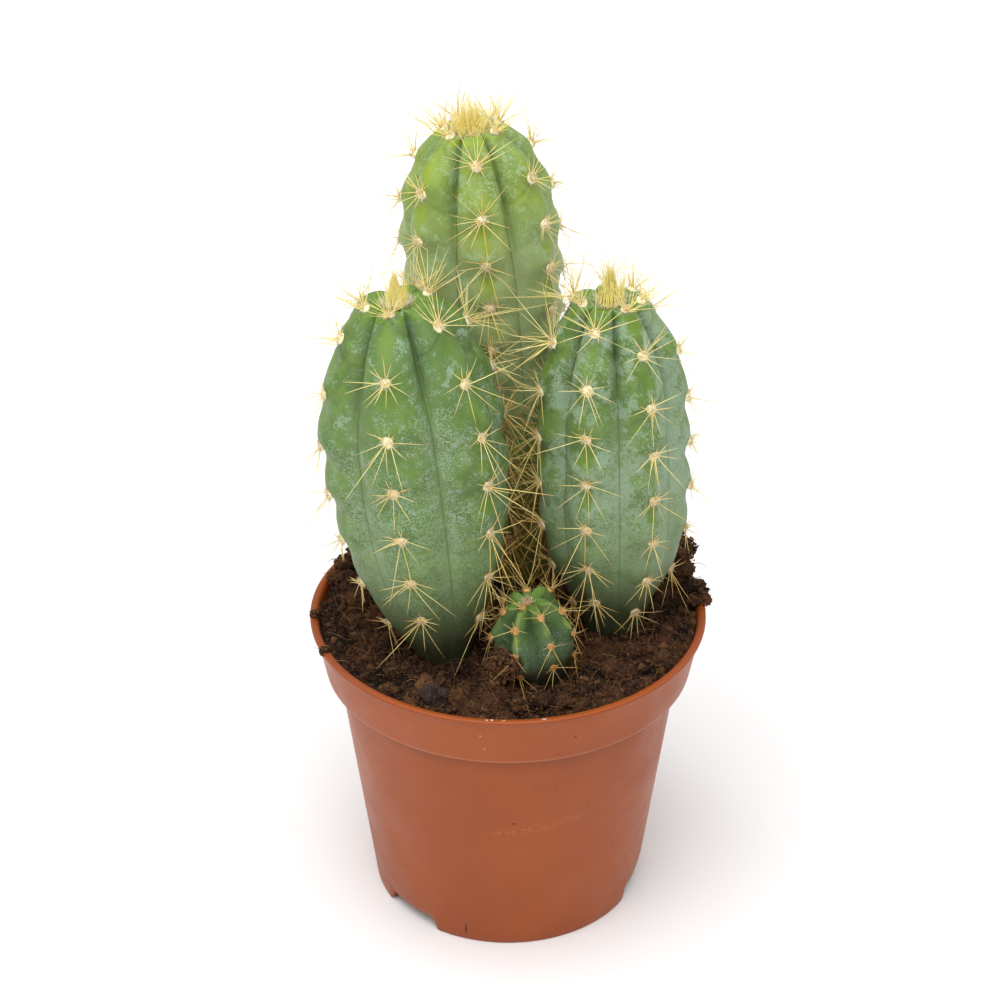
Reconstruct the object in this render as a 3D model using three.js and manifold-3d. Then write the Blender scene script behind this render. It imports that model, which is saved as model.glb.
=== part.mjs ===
// A clump of columnar cactus in a round nursery pot, in millimetres, +Z up.
// The origin is on the pot's axis, at the surface that the pot stands on. The front is -Y.
import * as THREE from 'three';
import { mergeVertices } from 'three/addons/utils/BufferGeometryUtils.js';
import Module from 'manifold-3d';

const wasm = await Module();
wasm.setup();

// Pot
const POT_HEIGHT = 96.5;
const RIM_RADIUS = 60;
const LIP_DEPTH = 1.4;
const LIP_OVERHANG = 1.2;
const COLLAR_FOOT_Z = 79;
const COLLAR_FOOT_RADIUS = 56;
const BODY_TOP_RADIUS = 52.1;
const FOOT_RADIUS = 41.8;
const WALL = 1.5;
const FLOOR_UNDERSIDE_Z = 4.6;
const POT_SIDES = 44;
const NOTCH_ANGLES = [-46, 74, 194];
const NOTCH_HALF_ANGLE = 15;
const NOTCH_HEIGHT = 4.3;
const DRAIN_HOLES = 5;
const DRAIN_HOLE_RADIUS = 3.5;
const DRAIN_HOLE_SIDES = 8;
const DRAIN_CIRCLE_RADIUS = 27;

// Soil
const SOIL_LEVEL = 93.2;
const SOIL_EDGE_DROP = 1.2;
const SEAT_GAP = 0.35;
const SOIL_RINGS = 8;
const SOIL_SPOKES = 32;
// Each mound is its place, its height and its spread.
const SOIL_MOUNDS = [
  { x: 49, y: 20, height: 12, spread: 7.5 },
  { x: -46, y: 29, height: 3.5, spread: 9 },
  { x: -51, y: 18.5, height: 6.5, spread: 4.2 },
  { x: -53, y: -5, height: 2.2, spread: 8 },
  { x: -47, y: -26, height: 1.8, spread: 8 },
  { x: 53, y: -6, height: 2.2, spread: 9 },
  { x: -16, y: 52, height: 2, spread: 12 },
  { x: -4, y: -43.5, height: 5.5, spread: 3.4 },
  { x: 8, y: -47, height: -2.5, spread: 5 },
  { x: -26, y: -42, height: 1.5, spread: 5 },
  { x: 35, y: -28, height: 1.5, spread: 8 },
];

// Cactus stems. Heights run along the stem's own axis from the soil, and each profile pair is a height
// and the radius over the crests of the ribs there. Angles are in degrees from the front towards +X.
const STEMS = [
  {
    name: 'left', ribs: 6, firstRib: -11, pitch: 15.6, bow: -0.6,
    base: [-18.7, -17.5, 93], crown: [-30.9, -15.5, 206.8],
    profile: [[-11, 6], [0, 8.4], [17, 16.5], [35, 22.7], [53, 25.9], [71, 26.7], [84, 26], [98, 21.5],
      [108, 17], [114.5, 11.5]],
    firstAreole: [100.5, 95.2, 104.4, 93.8, 96, 92.5],
    tuft: { core: 3.3, height: 10, reach: 13 },
  },
  {
    name: 'right', ribs: 7, firstRib: -22, pitch: 14.7, bow: 0.4,
    base: [31.6, -3.6, 93.5], crown: [28.6, -5, 202.3],
    profile: [[-11, 6], [0, 8.2], [8, 11], [24, 18.2], [42, 22], [60, 22.2], [76, 21.7], [92, 19.6],
      [101, 15.6], [108.8, 10.8]],
    firstAreole: [105.2, 99, 94.4, 101, 97, 92, 98.6],
    tuft: { core: 4, height: 11.5, reach: 15 },
  },
  {
    name: 'tall', ribs: 7, firstRib: 4, pitch: 13.4, bow: 0,
    base: [0.6, 29, 93], crown: [-10.6, 30.5, 239.3],
    profile: [[-11, 9.5], [0, 13], [15, 17.2], [35, 20.3], [60, 21.3], [92, 23.1], [107, 23.6], [118, 23.4],
      [131, 21], [140, 16.6], [146.7, 10.4]],
    firstAreole: [141.5, 135, 125.8, 131, 138, 126, 133.6],
    tuft: { core: 5.8, height: 8.5, reach: 12 },
  },
  {
    name: 'offset', ribs: 7, firstRib: 27, pitch: 7.5, bow: 0,
    base: [8.6, -28.6, 93], crown: [5.6, -28.6, 116.8],
    profile: [[-7, 6], [0, 8.8], [6, 11.4], [11, 12.1], [16, 11.9], [21, 9.6], [24, 6.2]],
    firstAreole: [15.2, 13.5, 14.8, 13, 14.5, 15.4, 13],
    tuft: { core: 1.5, height: 1.6, reach: 3 },
  },
];
const CREST_BULGE = 0.055;
const SMOOTH_UP_TO = 0.12;
const FULL_SWELL_FROM = 0.52;
const SWELL_PEAK = 0.14;
const SWELL_FOOT = 0.55;
const NOTCH_START = 0.9;
const SAG_DEPTH = 0.9;
const SAG_PLACE = 0.64;
const SAG_SPREAD = 0.2;
const GROOVE_AT_BASE = 0.11;
const GROOVE_GAIN = 0.21;
const RING_STEP = 5;
const FEWEST_STEPS = 7;
const POINTS_PER_RIB = 4;
const SHOULDER_RISE = 0.5;
const SHOULDER_SHARE = 0.8;
const CROWN_DIP = 0.4;
const CROWN_FLAT_SHARE = 0.55;

// Areoles and spines
const CUSHION_RADIUS = 1.9;
const CUSHION_HEIGHT = 1.1;
const CUSHION_SINK = 0.6;
const CUSHION_SIDES = 4;
const SPINE_RADIUS = 0.42;
const SPINE_LENGTHS = [8, 13];
const SPINES_PER_AREOLE = 2;
const SPINE_ATTEMPTS = 5;
const LOWEST_AREOLE = 9;
const LOWEST_OFFSET_AREOLE = 5;
const CROWN_AREOLE_SHARE = 0.82;
const CROWN_AREOLE_RISE = 0.45;
const CROWN_AREOLE_GAP = 0.4;
const CLEARANCE = 0.6;
const SPINE_GAP = 1.6;
const SIDE_LIMIT = 60.4;
const RIM_MARGIN = 6;
const LUMP_ALLOWANCE = 0.6;
const TUFT_ALLOWANCE = 2.5;

// Tufts
const TUFT_SIDES = 9;
const TUFT_SPIKES = 22;
const OFFSET_TUFT_SPIKES = 7;
const TUFT_SPIKE_RADIUS = 0.45;
const OFFSET_SPIKE_RADIUS = 0.3;
const GOLDEN_ANGLE = 137.5;

const COLOURS = {
  pot: 0xa0552f,
  soil: 0x3a2619,
  left: 0x7f9a70,
  right: 0x7b9868,
  tall: 0x8fa757,
  offset: 0x5f7d45,
  tuft: 0xd3bc6f,
};

// A seeded draw, so that the spines fall the same way each time.
let seed = 20771;
function draw() {
  seed = (seed * 1664525 + 1013904223) % 4294967296;
  return seed / 4294967296;
}

const radians = (degrees) => (degrees * Math.PI) / 180;
const isSmall = (stem) => stem.name === 'offset';

// A smooth value through pairs of place and value, level at neither end.
function smoothThrough(pairs, place) {
  const last = pairs.length - 1;
  if (place <= pairs[0][0]) return pairs[0][1];
  if (place >= pairs[last][0]) return pairs[last][1];
  let i = 0;
  while (place > pairs[i + 1][0]) i += 1;
  const slope = (k) => {
    const a = pairs[Math.max(k - 1, 0)];
    const b = pairs[Math.min(k + 1, last)];
    return (b[1] - a[1]) / (b[0] - a[0]);
  };
  const span = pairs[i + 1][0] - pairs[i][0];
  const t = (place - pairs[i][0]) / span;
  const start = (2 * t * t * t - 3 * t * t + 1) * pairs[i][1] + (t * t * t - 2 * t * t + t) * span * slope(i);
  const end = (3 * t * t - 2 * t * t * t) * pairs[i + 1][1] + (t * t * t - t * t) * span * slope(i + 1);
  return start + end;
}

function solidFromArrays(positions, faces) {
  const geometry = new THREE.BufferGeometry();
  geometry.setAttribute('position', new THREE.Float32BufferAttribute(positions, 3));
  geometry.setIndex(faces);
  return solidFromGeometry(geometry);
}

function solidFromGeometry(source) {
  const bare = source.clone();
  bare.deleteAttribute('normal');
  bare.deleteAttribute('uv');
  const merged = mergeVertices(bare, 1e-4);
  return new wasm.Manifold(new wasm.Mesh({
    numProp: 3,
    vertProperties: new Float32Array(merged.attributes.position.array),
    triVerts: new Uint32Array(merged.index.array),
  }));
}

function geometryFromSolid(solid) {
  const mesh = solid.getMesh();
  const geometry = new THREE.BufferGeometry();
  geometry.setAttribute('position', new THREE.Float32BufferAttribute(mesh.vertProperties, 3));
  geometry.setIndex(Array.from(mesh.triVerts));
  return geometry;
}

// Joins solids two by two, so that each join stays small.
function joinAll(solids) {
  let row = solids;
  while (row.length > 1) {
    const next = [];
    for (let i = 0; i < row.length; i += 2) {
      next.push(i + 1 < row.length ? row[i].add(row[i + 1]) : row[i]);
    }
    row = next;
  }
  return row[0];
}

// Stem frame: local height runs along the chord from base to crown.
for (const stem of STEMS) {
  stem.start = new THREE.Vector3(...stem.base);
  const chord = new THREE.Vector3(...stem.crown).sub(stem.start);
  stem.length = stem.profile[stem.profile.length - 1][0];
  stem.up = chord.clone().normalize();
  stem.front = new THREE.Vector3(0, -1, 0).addScaledVector(stem.up, stem.up.y).normalize();
  stem.side = new THREE.Vector3().crossVectors(stem.up, stem.front);
}

// How far up the stem a height is, from 0 to 1.
function partUp(stem, height) {
  return Math.min(Math.max(height / stem.length, 0), 1);
}

// How far the axis bows sideways from its chord at a height.
function bowAt(stem, height) {
  const part = partUp(stem, height);
  return stem.bow * 4 * part * (1 - part);
}

// 0 on the crest of the nearest rib and 1 in the groove, with the rib's number.
function ribPlace(stem, angle) {
  const pitch = 360 / stem.ribs;
  const turn = (angle - stem.firstRib) / pitch;
  const nearest = Math.round(turn);
  const rib = ((nearest % stem.ribs) + stem.ribs) % stem.ribs;
  return { rib, away: Math.min(Math.abs(turn - nearest) * 2, 1) };
}

// The crest swells just above each areole, and sags before it rises to the next one.
function crestSwell(stem, rib, height) {
  const steps = (height - stem.firstAreole[rib]) / stem.pitch;
  const part = steps - Math.floor(steps);
  const rise = SWELL_FOOT + ((1 - SWELL_FOOT) * part) / SWELL_PEAK;
  const wave = part < SWELL_PEAK ? rise : 1 - (part - SWELL_PEAK) / (1 - SWELL_PEAK);
  const join = (Math.max(part - NOTCH_START, 0) / (1 - NOTCH_START)) * SWELL_FOOT;
  const sag = SAG_DEPTH * Math.exp(-(((part - SAG_PLACE) / SAG_SPREAD) ** 2));
  return wave + join - sag;
}

// Grooves are deep at the crown and nearly flat faces at the base.
function grooveDepth(stem, height) {
  return GROOVE_AT_BASE + GROOVE_GAIN * partUp(stem, height) ** 1.6;
}

function stemRadius(stem, height, angle) {
  const crest = smoothThrough(stem.profile, height);
  const { rib, away } = ribPlace(stem, angle);
  const part = partUp(stem, height);
  const shape = away ** (1.5 + 0.7 * part);
  const fade = Math.min(Math.max((part - SMOOTH_UP_TO) / (FULL_SWELL_FROM - SMOOTH_UP_TO), 0), 1);
  const swell = CREST_BULGE * (crestSwell(stem, rib, height) - 0.5) * (1 - away) ** 1.3 * fade;
  return crest * (1 - grooveDepth(stem, height) * shape + swell);
}

function stemPoint(stem, height, angle, radius) {
  const a = radians(angle);
  return stem.start.clone()
    .addScaledVector(stem.up, height)
    .addScaledVector(stem.side, bowAt(stem, height) + radius * Math.sin(a))
    .addScaledVector(stem.front, radius * Math.cos(a));
}

// A closed ribbed column, grown by the given amount on every side, with a flat round top for the tuft.
function stemBody(stem, grow) {
  const around = stem.ribs * POINTS_PER_RIB;
  const low = stem.profile[0][0];
  const high = stem.length;
  const span = high - low;
  const steps = Math.max(FEWEST_STEPS, Math.round(span / RING_STEP));
  const rings = [];
  for (let i = 0; i <= steps; i += 1) {
    const height = low + (span * i) / steps;
    const drop = i === 0 ? grow : 0;
    rings.push((angle) => stemPoint(stem, height - drop, angle, stemRadius(stem, height, angle) + grow));
  }
  const flat = smoothThrough(stem.profile, high) * CROWN_FLAT_SHARE;
  const shoulder = (angle) => stemRadius(stem, high, angle) * SHOULDER_SHARE;
  rings.push((angle) => stemPoint(stem, high + SHOULDER_RISE + grow, angle, shoulder(angle)));
  rings.push((angle) => stemPoint(stem, high - CROWN_DIP + grow, angle, flat));
  const positions = [];
  for (const ring of rings) {
    for (let k = 0; k < around; k += 1) {
      positions.push(...ring(stem.firstRib + (360 * k) / around).toArray());
    }
  }
  const bottom = positions.length / 3;
  positions.push(...stemPoint(stem, low - grow, 0, 0).toArray());
  positions.push(...stemPoint(stem, high - CROWN_DIP + grow, 0, 0).toArray());
  const faces = [];
  for (let i = 0; i + 1 < rings.length; i += 1) {
    for (let k = 0; k < around; k += 1) {
      const a = i * around + k;
      const b = i * around + ((k + 1) % around);
      faces.push(a, b, b + around, a, b + around, a + around);
    }
  }
  const topRing = (rings.length - 1) * around;
  for (let k = 0; k < around; k += 1) {
    const next = (k + 1) % around;
    faces.push(bottom, next, k, bottom + 1, topRing + k, topRing + next);
  }
  return solidFromArrays(positions, faces);
}

// The soil's surface: mounds, and small lumps from a few waves.
function soilHeight(x, y) {
  const out = Math.hypot(x, y) / (RIM_RADIUS - WALL - 2);
  let z = SOIL_LEVEL - SOIL_EDGE_DROP * out ** 4;
  for (const mound of SOIL_MOUNDS) {
    const away = ((x - mound.x) ** 2 + (y - mound.y) ** 2) / (2 * mound.spread ** 2);
    z += mound.height * Math.exp(-away);
  }
  z += 0.7 * Math.sin(0.31 * x + 1.1) * Math.sin(0.27 * y + 0.4) + 0.45 * Math.sin(0.62 * x - 0.41 * y);
  return z;
}

// Angle and radius of a point seen along a stem's axis, and whether it is inside the stem or too near to it.
function nearStem(stem, point, margin) {
  const local = point.clone().sub(stem.start);
  const height = local.dot(stem.up);
  const tuftTop = stem.length + stem.tuft.reach + margin;
  if (height < stem.profile[0][0] - margin || height > tuftTop) return false;
  const across = local.dot(stem.side) - bowAt(stem, height);
  const ahead = local.dot(stem.front);
  const radius = Math.hypot(across, ahead);
  if (height > stem.length) return radius < stem.tuft.core + TUFT_ALLOWANCE + margin;
  const angle = (Math.atan2(across, ahead) * 180) / Math.PI;
  return radius < stemRadius(stem, height, angle) + margin;
}

function nearGround(point, margin) {
  const out = Math.hypot(point.x, point.y);
  if (out > RIM_RADIUS - RIM_MARGIN && point.z < POT_HEIGHT + margin) return true;
  return out < RIM_RADIUS && point.z < soilHeight(point.x, point.y) + margin + LUMP_ALLOWANCE;
}

const placedSpines = [];

function segmentGap(a, b, c, d) {
  let least = Infinity;
  for (let i = 0; i <= 6; i += 1) {
    const p = a.clone().lerp(b, i / 6);
    const along = d.clone().sub(c);
    const t = THREE.MathUtils.clamp(p.clone().sub(c).dot(along) / along.lengthSq(), 0, 1);
    least = Math.min(least, p.distanceTo(c.clone().addScaledVector(along, t)));
  }
  return least;
}

// True where a spine from root to tip meets nothing but its own stem.
function spineIsClear(owner, root, tip) {
  for (let i = 1; i <= 8; i += 1) {
    const point = root.clone().lerp(tip, i / 8);
    if (Math.abs(point.x) > SIDE_LIMIT || Math.abs(point.y) > SIDE_LIMIT) return false;
    if (nearGround(point, CLEARANCE)) return false;
    for (const stem of STEMS) {
      if (stem !== owner && nearStem(stem, point, CLEARANCE)) return false;
    }
  }
  const local = tip.clone().sub(owner.start);
  const height = local.dot(owner.up);
  const aside = local.addScaledVector(owner.up, -height).length();
  if (height > owner.length && aside < owner.tuft.core + TUFT_ALLOWANCE) return false;
  return placedSpines.every((other) => (
    other.owner === owner || segmentGap(root, tip, other.root, other.tip) > SPINE_GAP
  ));
}

// A three-sided spike from a sunk root to its tip.
function spike(root, tip, radius) {
  const along = tip.clone().sub(root).normalize();
  const helper = Math.abs(along.z) < 0.9 ? new THREE.Vector3(0, 0, 1) : new THREE.Vector3(1, 0, 0);
  const u = new THREE.Vector3().crossVectors(along, helper).normalize();
  const v = new THREE.Vector3().crossVectors(along, u);
  const positions = [];
  for (let k = 0; k < 3; k += 1) {
    const a = (2 * Math.PI * k) / 3;
    const corner = root.clone()
      .addScaledVector(u, radius * Math.cos(a))
      .addScaledVector(v, radius * Math.sin(a));
    positions.push(...corner.toArray());
  }
  positions.push(...tip.toArray());
  return solidFromArrays(positions, [0, 2, 1, 0, 1, 3, 1, 2, 3, 2, 0, 3]);
}

// The youngest areole of a rib, on the shoulder of the crown.
function crownAreole(stem, angle) {
  const high = stem.length;
  const at = stemPoint(
    stem, high + CROWN_AREOLE_RISE, angle, stemRadius(stem, high, angle) * CROWN_AREOLE_SHARE,
  );
  const radial = stemPoint(stem, high, angle, 1).sub(stemPoint(stem, high, angle, 0)).normalize();
  const out = stem.up.clone().multiplyScalar(0.75).addScaledVector(radial, 0.65).normalize();
  const up = stem.up.clone().multiplyScalar(0.65).addScaledVector(radial, -0.75).normalize();
  const side = new THREE.Vector3().crossVectors(up, out).normalize();
  return { at, out, up, side, height: high };
}

// The places of a stem's areoles, with the directions outwards, upwards and sideways there.
function areoles(stem) {
  const list = [];
  for (let rib = 0; rib < stem.ribs; rib += 1) {
    const angle = stem.firstRib + (360 * rib) / stem.ribs;
    let height = stem.firstAreole[rib];
    while (height + stem.pitch < stem.length - 1) height += stem.pitch;
    const room = stem.length - height > CROWN_AREOLE_GAP * stem.pitch;
    if (room && !isSmall(stem)) list.push(crownAreole(stem, angle));
    const lowest = isSmall(stem) ? LOWEST_OFFSET_AREOLE : LOWEST_AREOLE;
    for (; height > lowest; height -= stem.pitch) {
      const at = stemPoint(stem, height, angle, stemRadius(stem, height, angle));
      const above = stemPoint(stem, height + 2, angle, stemRadius(stem, height + 2, angle));
      const below = stemPoint(stem, height - 2, angle, smoothThrough(stem.profile, height - 2));
      const up = above.sub(below).normalize();
      const round = stemPoint(stem, height, angle + 90, 10).sub(stemPoint(stem, height, angle, 0));
      const side = round.normalize();
      const out = new THREE.Vector3().crossVectors(side, up).normalize();
      if (out.dot(at.clone().sub(stemPoint(stem, height, angle, 0))) < 0) out.negate();
      list.push({ at, out, up, side, height });
    }
  }
  return list;
}

// A low cushion of a few sides, sunk into the crest.
function cushion(areole, size) {
  const positions = [];
  const root = areole.at.clone().addScaledVector(areole.out, -CUSHION_HEIGHT * size - CUSHION_SINK);
  for (let k = 0; k < CUSHION_SIDES; k += 1) {
    const a = (2 * Math.PI * k) / CUSHION_SIDES;
    const rim = root.clone()
      .addScaledVector(areole.side, CUSHION_RADIUS * size * Math.cos(a))
      .addScaledVector(areole.up, CUSHION_RADIUS * size * Math.sin(a));
    positions.push(...rim.toArray());
  }
  positions.push(...root.toArray());
  positions.push(...areole.at.clone().addScaledVector(areole.out, CUSHION_HEIGHT * size).toArray());
  const faces = [];
  for (let k = 0; k < CUSHION_SIDES; k += 1) {
    const next = (k + 1) % CUSHION_SIDES;
    faces.push(CUSHION_SIDES, k, next, CUSHION_SIDES + 1, next, k);
  }
  const solid = solidFromArrays(positions, faces);
  return solid.volume() > 0 ? solid : solidFromArrays(positions, faces.slice().reverse());
}

// The spines of one areole fan out round it, the lower ones longest.
function areoleSpines(stem, areole, size) {
  const solids = [];
  const turn = draw() * 360;
  const count = size < 1 ? 1 : SPINES_PER_AREOLE;
  for (let k = 0; k < count; k += 1) {
    for (let attempt = 0; attempt < SPINE_ATTEMPTS; attempt += 1) {
      const round = radians(turn + (360 * (k + (draw() - 0.5) * 0.6)) / count);
      const lift = 0.35 + 0.5 * draw();
      const direction = areole.out.clone().multiplyScalar(lift)
        .addScaledVector(areole.side, Math.cos(round))
        .addScaledVector(areole.up, Math.sin(round))
        .normalize();
      const full = THREE.MathUtils.lerp(SPINE_LENGTHS[0], SPINE_LENGTHS[1], draw()) * size;
      const length = full * (1 - 0.12 * attempt);
      const tip = areole.at.clone().addScaledVector(direction, length);
      if (!spineIsClear(stem, areole.at, tip)) continue;
      const root = areole.at.clone().addScaledVector(areole.out, -0.5 * size);
      placedSpines.push({ owner: stem, root: areole.at, tip });
      solids.push(spike(root, tip, SPINE_RADIUS * (0.5 + 0.5 * size)));
      break;
    }
  }
  return solids;
}

function stemSolid(stem) {
  const size = isSmall(stem) ? 0.5 : 1;
  const solids = [stemBody(stem, 0)];
  for (const areole of areoles(stem)) {
    solids.push(cushion(areole, size), ...areoleSpines(stem, areole, size));
  }
  return joinAll(solids);
}

// The golden tuft in the hollow of a crown: a small core and the spines that stand out of it.
function tuftSolid(stem) {
  const { core, height, reach } = stem.tuft;
  const foot = stem.length - CROWN_DIP + SEAT_GAP;
  const sides = TUFT_SIDES;
  const positions = [];
  const levels = [[0, core], [0.35, core * 0.86], [0.75, core * 0.42]];
  for (const [part, radius] of levels) {
    for (let k = 0; k < sides; k += 1) {
      positions.push(...stemPoint(stem, foot + height * part, (360 * k) / sides, radius).toArray());
    }
  }
  const bottom = positions.length / 3;
  positions.push(...stemPoint(stem, foot, 0, 0).toArray(), ...stemPoint(stem, foot + height, 0, 0).toArray());
  const faces = [];
  for (let i = 0; i + 1 < levels.length; i += 1) {
    for (let k = 0; k < sides; k += 1) {
      const a = i * sides + k;
      const b = i * sides + ((k + 1) % sides);
      faces.push(a, b, b + sides, a, b + sides, a + sides);
    }
  }
  const last = (levels.length - 1) * sides;
  for (let k = 0; k < sides; k += 1) {
    const next = (k + 1) % sides;
    faces.push(bottom, next, k, bottom + 1, last + k, last + next);
  }
  const solids = [solidFromArrays(positions, faces)];
  const count = isSmall(stem) ? OFFSET_TUFT_SPIKES : TUFT_SPIKES;
  for (let k = 0; k < count; k += 1) {
    const angle = (k * GOLDEN_ANGLE) % 360;
    const out = Math.sqrt((k + 0.5) / count);
    const root = stemPoint(stem, foot + height * 0.12, angle, core * 0.6 * out);
    const tipHeight = foot + reach * (1 - 0.35 * out * out) * (0.85 + 0.15 * draw());
    const tip = stemPoint(stem, tipHeight, angle, core * (0.2 + 1.15 * out));
    solids.push(spike(root, tip, isSmall(stem) ? OFFSET_SPIKE_RADIUS : TUFT_SPIKE_RADIUS));
  }
  return joinAll(solids);
}

function lathe(outline, sides) {
  const points = outline.map(([radius, z]) => new THREE.Vector2(radius, z));
  const geometry = new THREE.LatheGeometry(points, sides);
  geometry.rotateX(Math.PI / 2);
  return geometry;
}

// A closed turned solid. The outline runs up the outside, and back down the inside or the axis.
function turned(outline, sides) {
  const solid = solidFromGeometry(lathe(outline, sides));
  if (solid.volume() > 0) return solid;
  return solidFromGeometry(lathe(outline.slice().reverse(), sides));
}

const innerWall = [
  [RIM_RADIUS - LIP_OVERHANG - WALL * 0.55, POT_HEIGHT],
  [RIM_RADIUS - LIP_OVERHANG - WALL, POT_HEIGHT - 1.2],
  [COLLAR_FOOT_RADIUS - WALL, COLLAR_FOOT_Z + 1.6],
  [BODY_TOP_RADIUS - WALL, COLLAR_FOOT_Z - 1.4],
  [FOOT_RADIUS - WALL + 0.6, FLOOR_UNDERSIDE_Z + WALL],
];

function potSolid() {
  const outline = [
    [0, FLOOR_UNDERSIDE_Z],
    [FOOT_RADIUS - WALL, FLOOR_UNDERSIDE_Z],
    [FOOT_RADIUS - WALL, 0],
    [FOOT_RADIUS - 0.2, 0],
    [FOOT_RADIUS + 0.3, 0.8],
    [BODY_TOP_RADIUS, COLLAR_FOOT_Z - 0.4],
    [COLLAR_FOOT_RADIUS - 0.8, COLLAR_FOOT_Z],
    [COLLAR_FOOT_RADIUS, COLLAR_FOOT_Z + 1.2],
    [RIM_RADIUS - LIP_OVERHANG, POT_HEIGHT - LIP_DEPTH],
    [RIM_RADIUS, POT_HEIGHT - LIP_DEPTH + 0.2],
    [RIM_RADIUS, POT_HEIGHT - 0.3],
    [RIM_RADIUS - 0.4, POT_HEIGHT],
    ...innerWall,
    [0, FLOOR_UNDERSIDE_Z + WALL],
    [0, FLOOR_UNDERSIDE_Z],
  ];
  let pot = turned(outline, POT_SIDES);
  for (const angle of NOTCH_ANGLES) {
    pot = pot.subtract(notchCutter(angle));
  }
  for (let k = 0; k < DRAIN_HOLES; k += 1) {
    const a = (2 * Math.PI * k) / DRAIN_HOLES;
    const x = DRAIN_CIRCLE_RADIUS * Math.sin(a);
    const y = -DRAIN_CIRCLE_RADIUS * Math.cos(a);
    const depth = 4 * WALL;
    const drill = new THREE.CylinderGeometry(DRAIN_HOLE_RADIUS, DRAIN_HOLE_RADIUS, depth, DRAIN_HOLE_SIDES);
    drill.rotateX(Math.PI / 2);
    drill.translate(x, y, FLOOR_UNDERSIDE_Z + WALL / 2);
    pot = pot.subtract(solidFromGeometry(drill));
  }
  return pot;
}

// A block with sloping ends that opens the foot ring, wider at the bottom than at the top.
function notchCutter(angle) {
  const reach = FOOT_RADIUS * Math.sin(radians(NOTCH_HALF_ANGLE));
  const profile = new THREE.Shape();
  profile.moveTo(-reach, -1);
  profile.lineTo(reach, -1);
  profile.lineTo(reach, 0.6);
  profile.lineTo(reach - 2.4, NOTCH_HEIGHT);
  profile.lineTo(-reach + 2.4, NOTCH_HEIGHT);
  profile.lineTo(-reach, 0.6);
  profile.closePath();
  const block = new THREE.ExtrudeGeometry(profile, { depth: 16, bevelEnabled: false });
  block.rotateX(Math.PI / 2);
  block.translate(0, -FOOT_RADIUS + 10, 0);
  block.rotateZ(radians(angle));
  return solidFromGeometry(block);
}

// The soil fills the pot and has a plain hole for each stem.
function soilSolid(plugs) {
  const wall = innerWall.map(([radius, z]) => [radius - SEAT_GAP, z]);
  const floor = FLOOR_UNDERSIDE_Z + WALL + SEAT_GAP;
  const edgeRadius = RIM_RADIUS - LIP_OVERHANG - WALL - SEAT_GAP - 1;
  const rows = [
    [wall[4][0], floor],
    [wall[3][0], wall[3][1]],
    [wall[2][0], wall[2][1]],
  ];
  const positions = [0, 0, floor];
  const spokes = SOIL_SPOKES;
  const angleOf = (k) => (2 * Math.PI * k) / spokes;
  for (const [radius, z] of rows) {
    for (let k = 0; k < spokes; k += 1) {
      positions.push(radius * Math.sin(angleOf(k)), -radius * Math.cos(angleOf(k)), z);
    }
  }
  for (let ring = SOIL_RINGS; ring >= 1; ring -= 1) {
    const radius = (edgeRadius * ring) / SOIL_RINGS;
    for (let k = 0; k < spokes; k += 1) {
      const x = radius * Math.sin(angleOf(k));
      const y = -radius * Math.cos(angleOf(k));
      positions.push(x, y, soilHeight(x, y));
    }
  }
  positions.push(0, 0, soilHeight(0, 0));
  const count = rows.length + SOIL_RINGS;
  const faces = [];
  for (let i = 0; i + 1 < count; i += 1) {
    for (let k = 0; k < spokes; k += 1) {
      const a = 1 + i * spokes + k;
      const b = 1 + i * spokes + ((k + 1) % spokes);
      faces.push(a, b, b + spokes, a, b + spokes, a + spokes);
    }
  }
  const topRing = 1 + (count - 1) * spokes;
  const centre = positions.length / 3 - 1;
  for (let k = 0; k < spokes; k += 1) {
    const next = (k + 1) % spokes;
    faces.push(0, 1 + next, 1 + k, centre, topRing + k, topRing + next);
  }
  let soil = solidFromArrays(positions, faces);
  for (const plug of plugs) {
    soil = soil.subtract(plug);
  }
  return soil;
}

function meshOf(name, solid, colour, roughness) {
  const material = new THREE.MeshStandardMaterial({ color: colour, roughness, metalness: 0 });
  const mesh = new THREE.Mesh(geometryFromSolid(solid), material);
  mesh.name = name;
  return mesh;
}

const plant = new THREE.Group();
plant.add(meshOf('pot', potSolid(), COLOURS.pot, 0.45));
plant.add(meshOf('soil', soilSolid(STEMS.map((stem) => stemBody(stem, SEAT_GAP))), COLOURS.soil, 0.95));
for (const stem of STEMS) {
  plant.add(meshOf(`stem_${stem.name}`, stemSolid(stem), COLOURS[stem.name], 0.6));
  plant.add(meshOf(`crown_${stem.name}`, tuftSolid(stem), COLOURS.tuft, 0.8));
}

export default plant;
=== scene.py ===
"""The looks of a potted clump of columnar cactus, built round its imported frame.

Lengths are millimetres and angles degrees until a mesh is made, where they become metres.
The front is -Y, and angles round a stem or the pot run from the front towards +X.
"""

import logging
import math
from dataclasses import dataclass
from enum import Enum

import bpy
import numpy as np
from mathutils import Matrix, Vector


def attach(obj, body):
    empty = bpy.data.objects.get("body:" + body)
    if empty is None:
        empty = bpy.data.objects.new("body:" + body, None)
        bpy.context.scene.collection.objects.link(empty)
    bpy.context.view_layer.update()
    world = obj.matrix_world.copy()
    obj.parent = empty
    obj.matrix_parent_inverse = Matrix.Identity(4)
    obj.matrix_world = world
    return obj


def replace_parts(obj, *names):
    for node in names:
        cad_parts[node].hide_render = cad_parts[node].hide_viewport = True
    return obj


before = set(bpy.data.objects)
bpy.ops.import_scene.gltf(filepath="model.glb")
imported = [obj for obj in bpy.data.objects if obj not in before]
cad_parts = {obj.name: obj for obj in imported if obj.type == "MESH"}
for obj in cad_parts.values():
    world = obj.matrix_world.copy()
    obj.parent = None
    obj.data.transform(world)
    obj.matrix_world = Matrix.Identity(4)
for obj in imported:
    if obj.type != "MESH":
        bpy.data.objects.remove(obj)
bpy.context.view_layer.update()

METRES = 0.001
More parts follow.
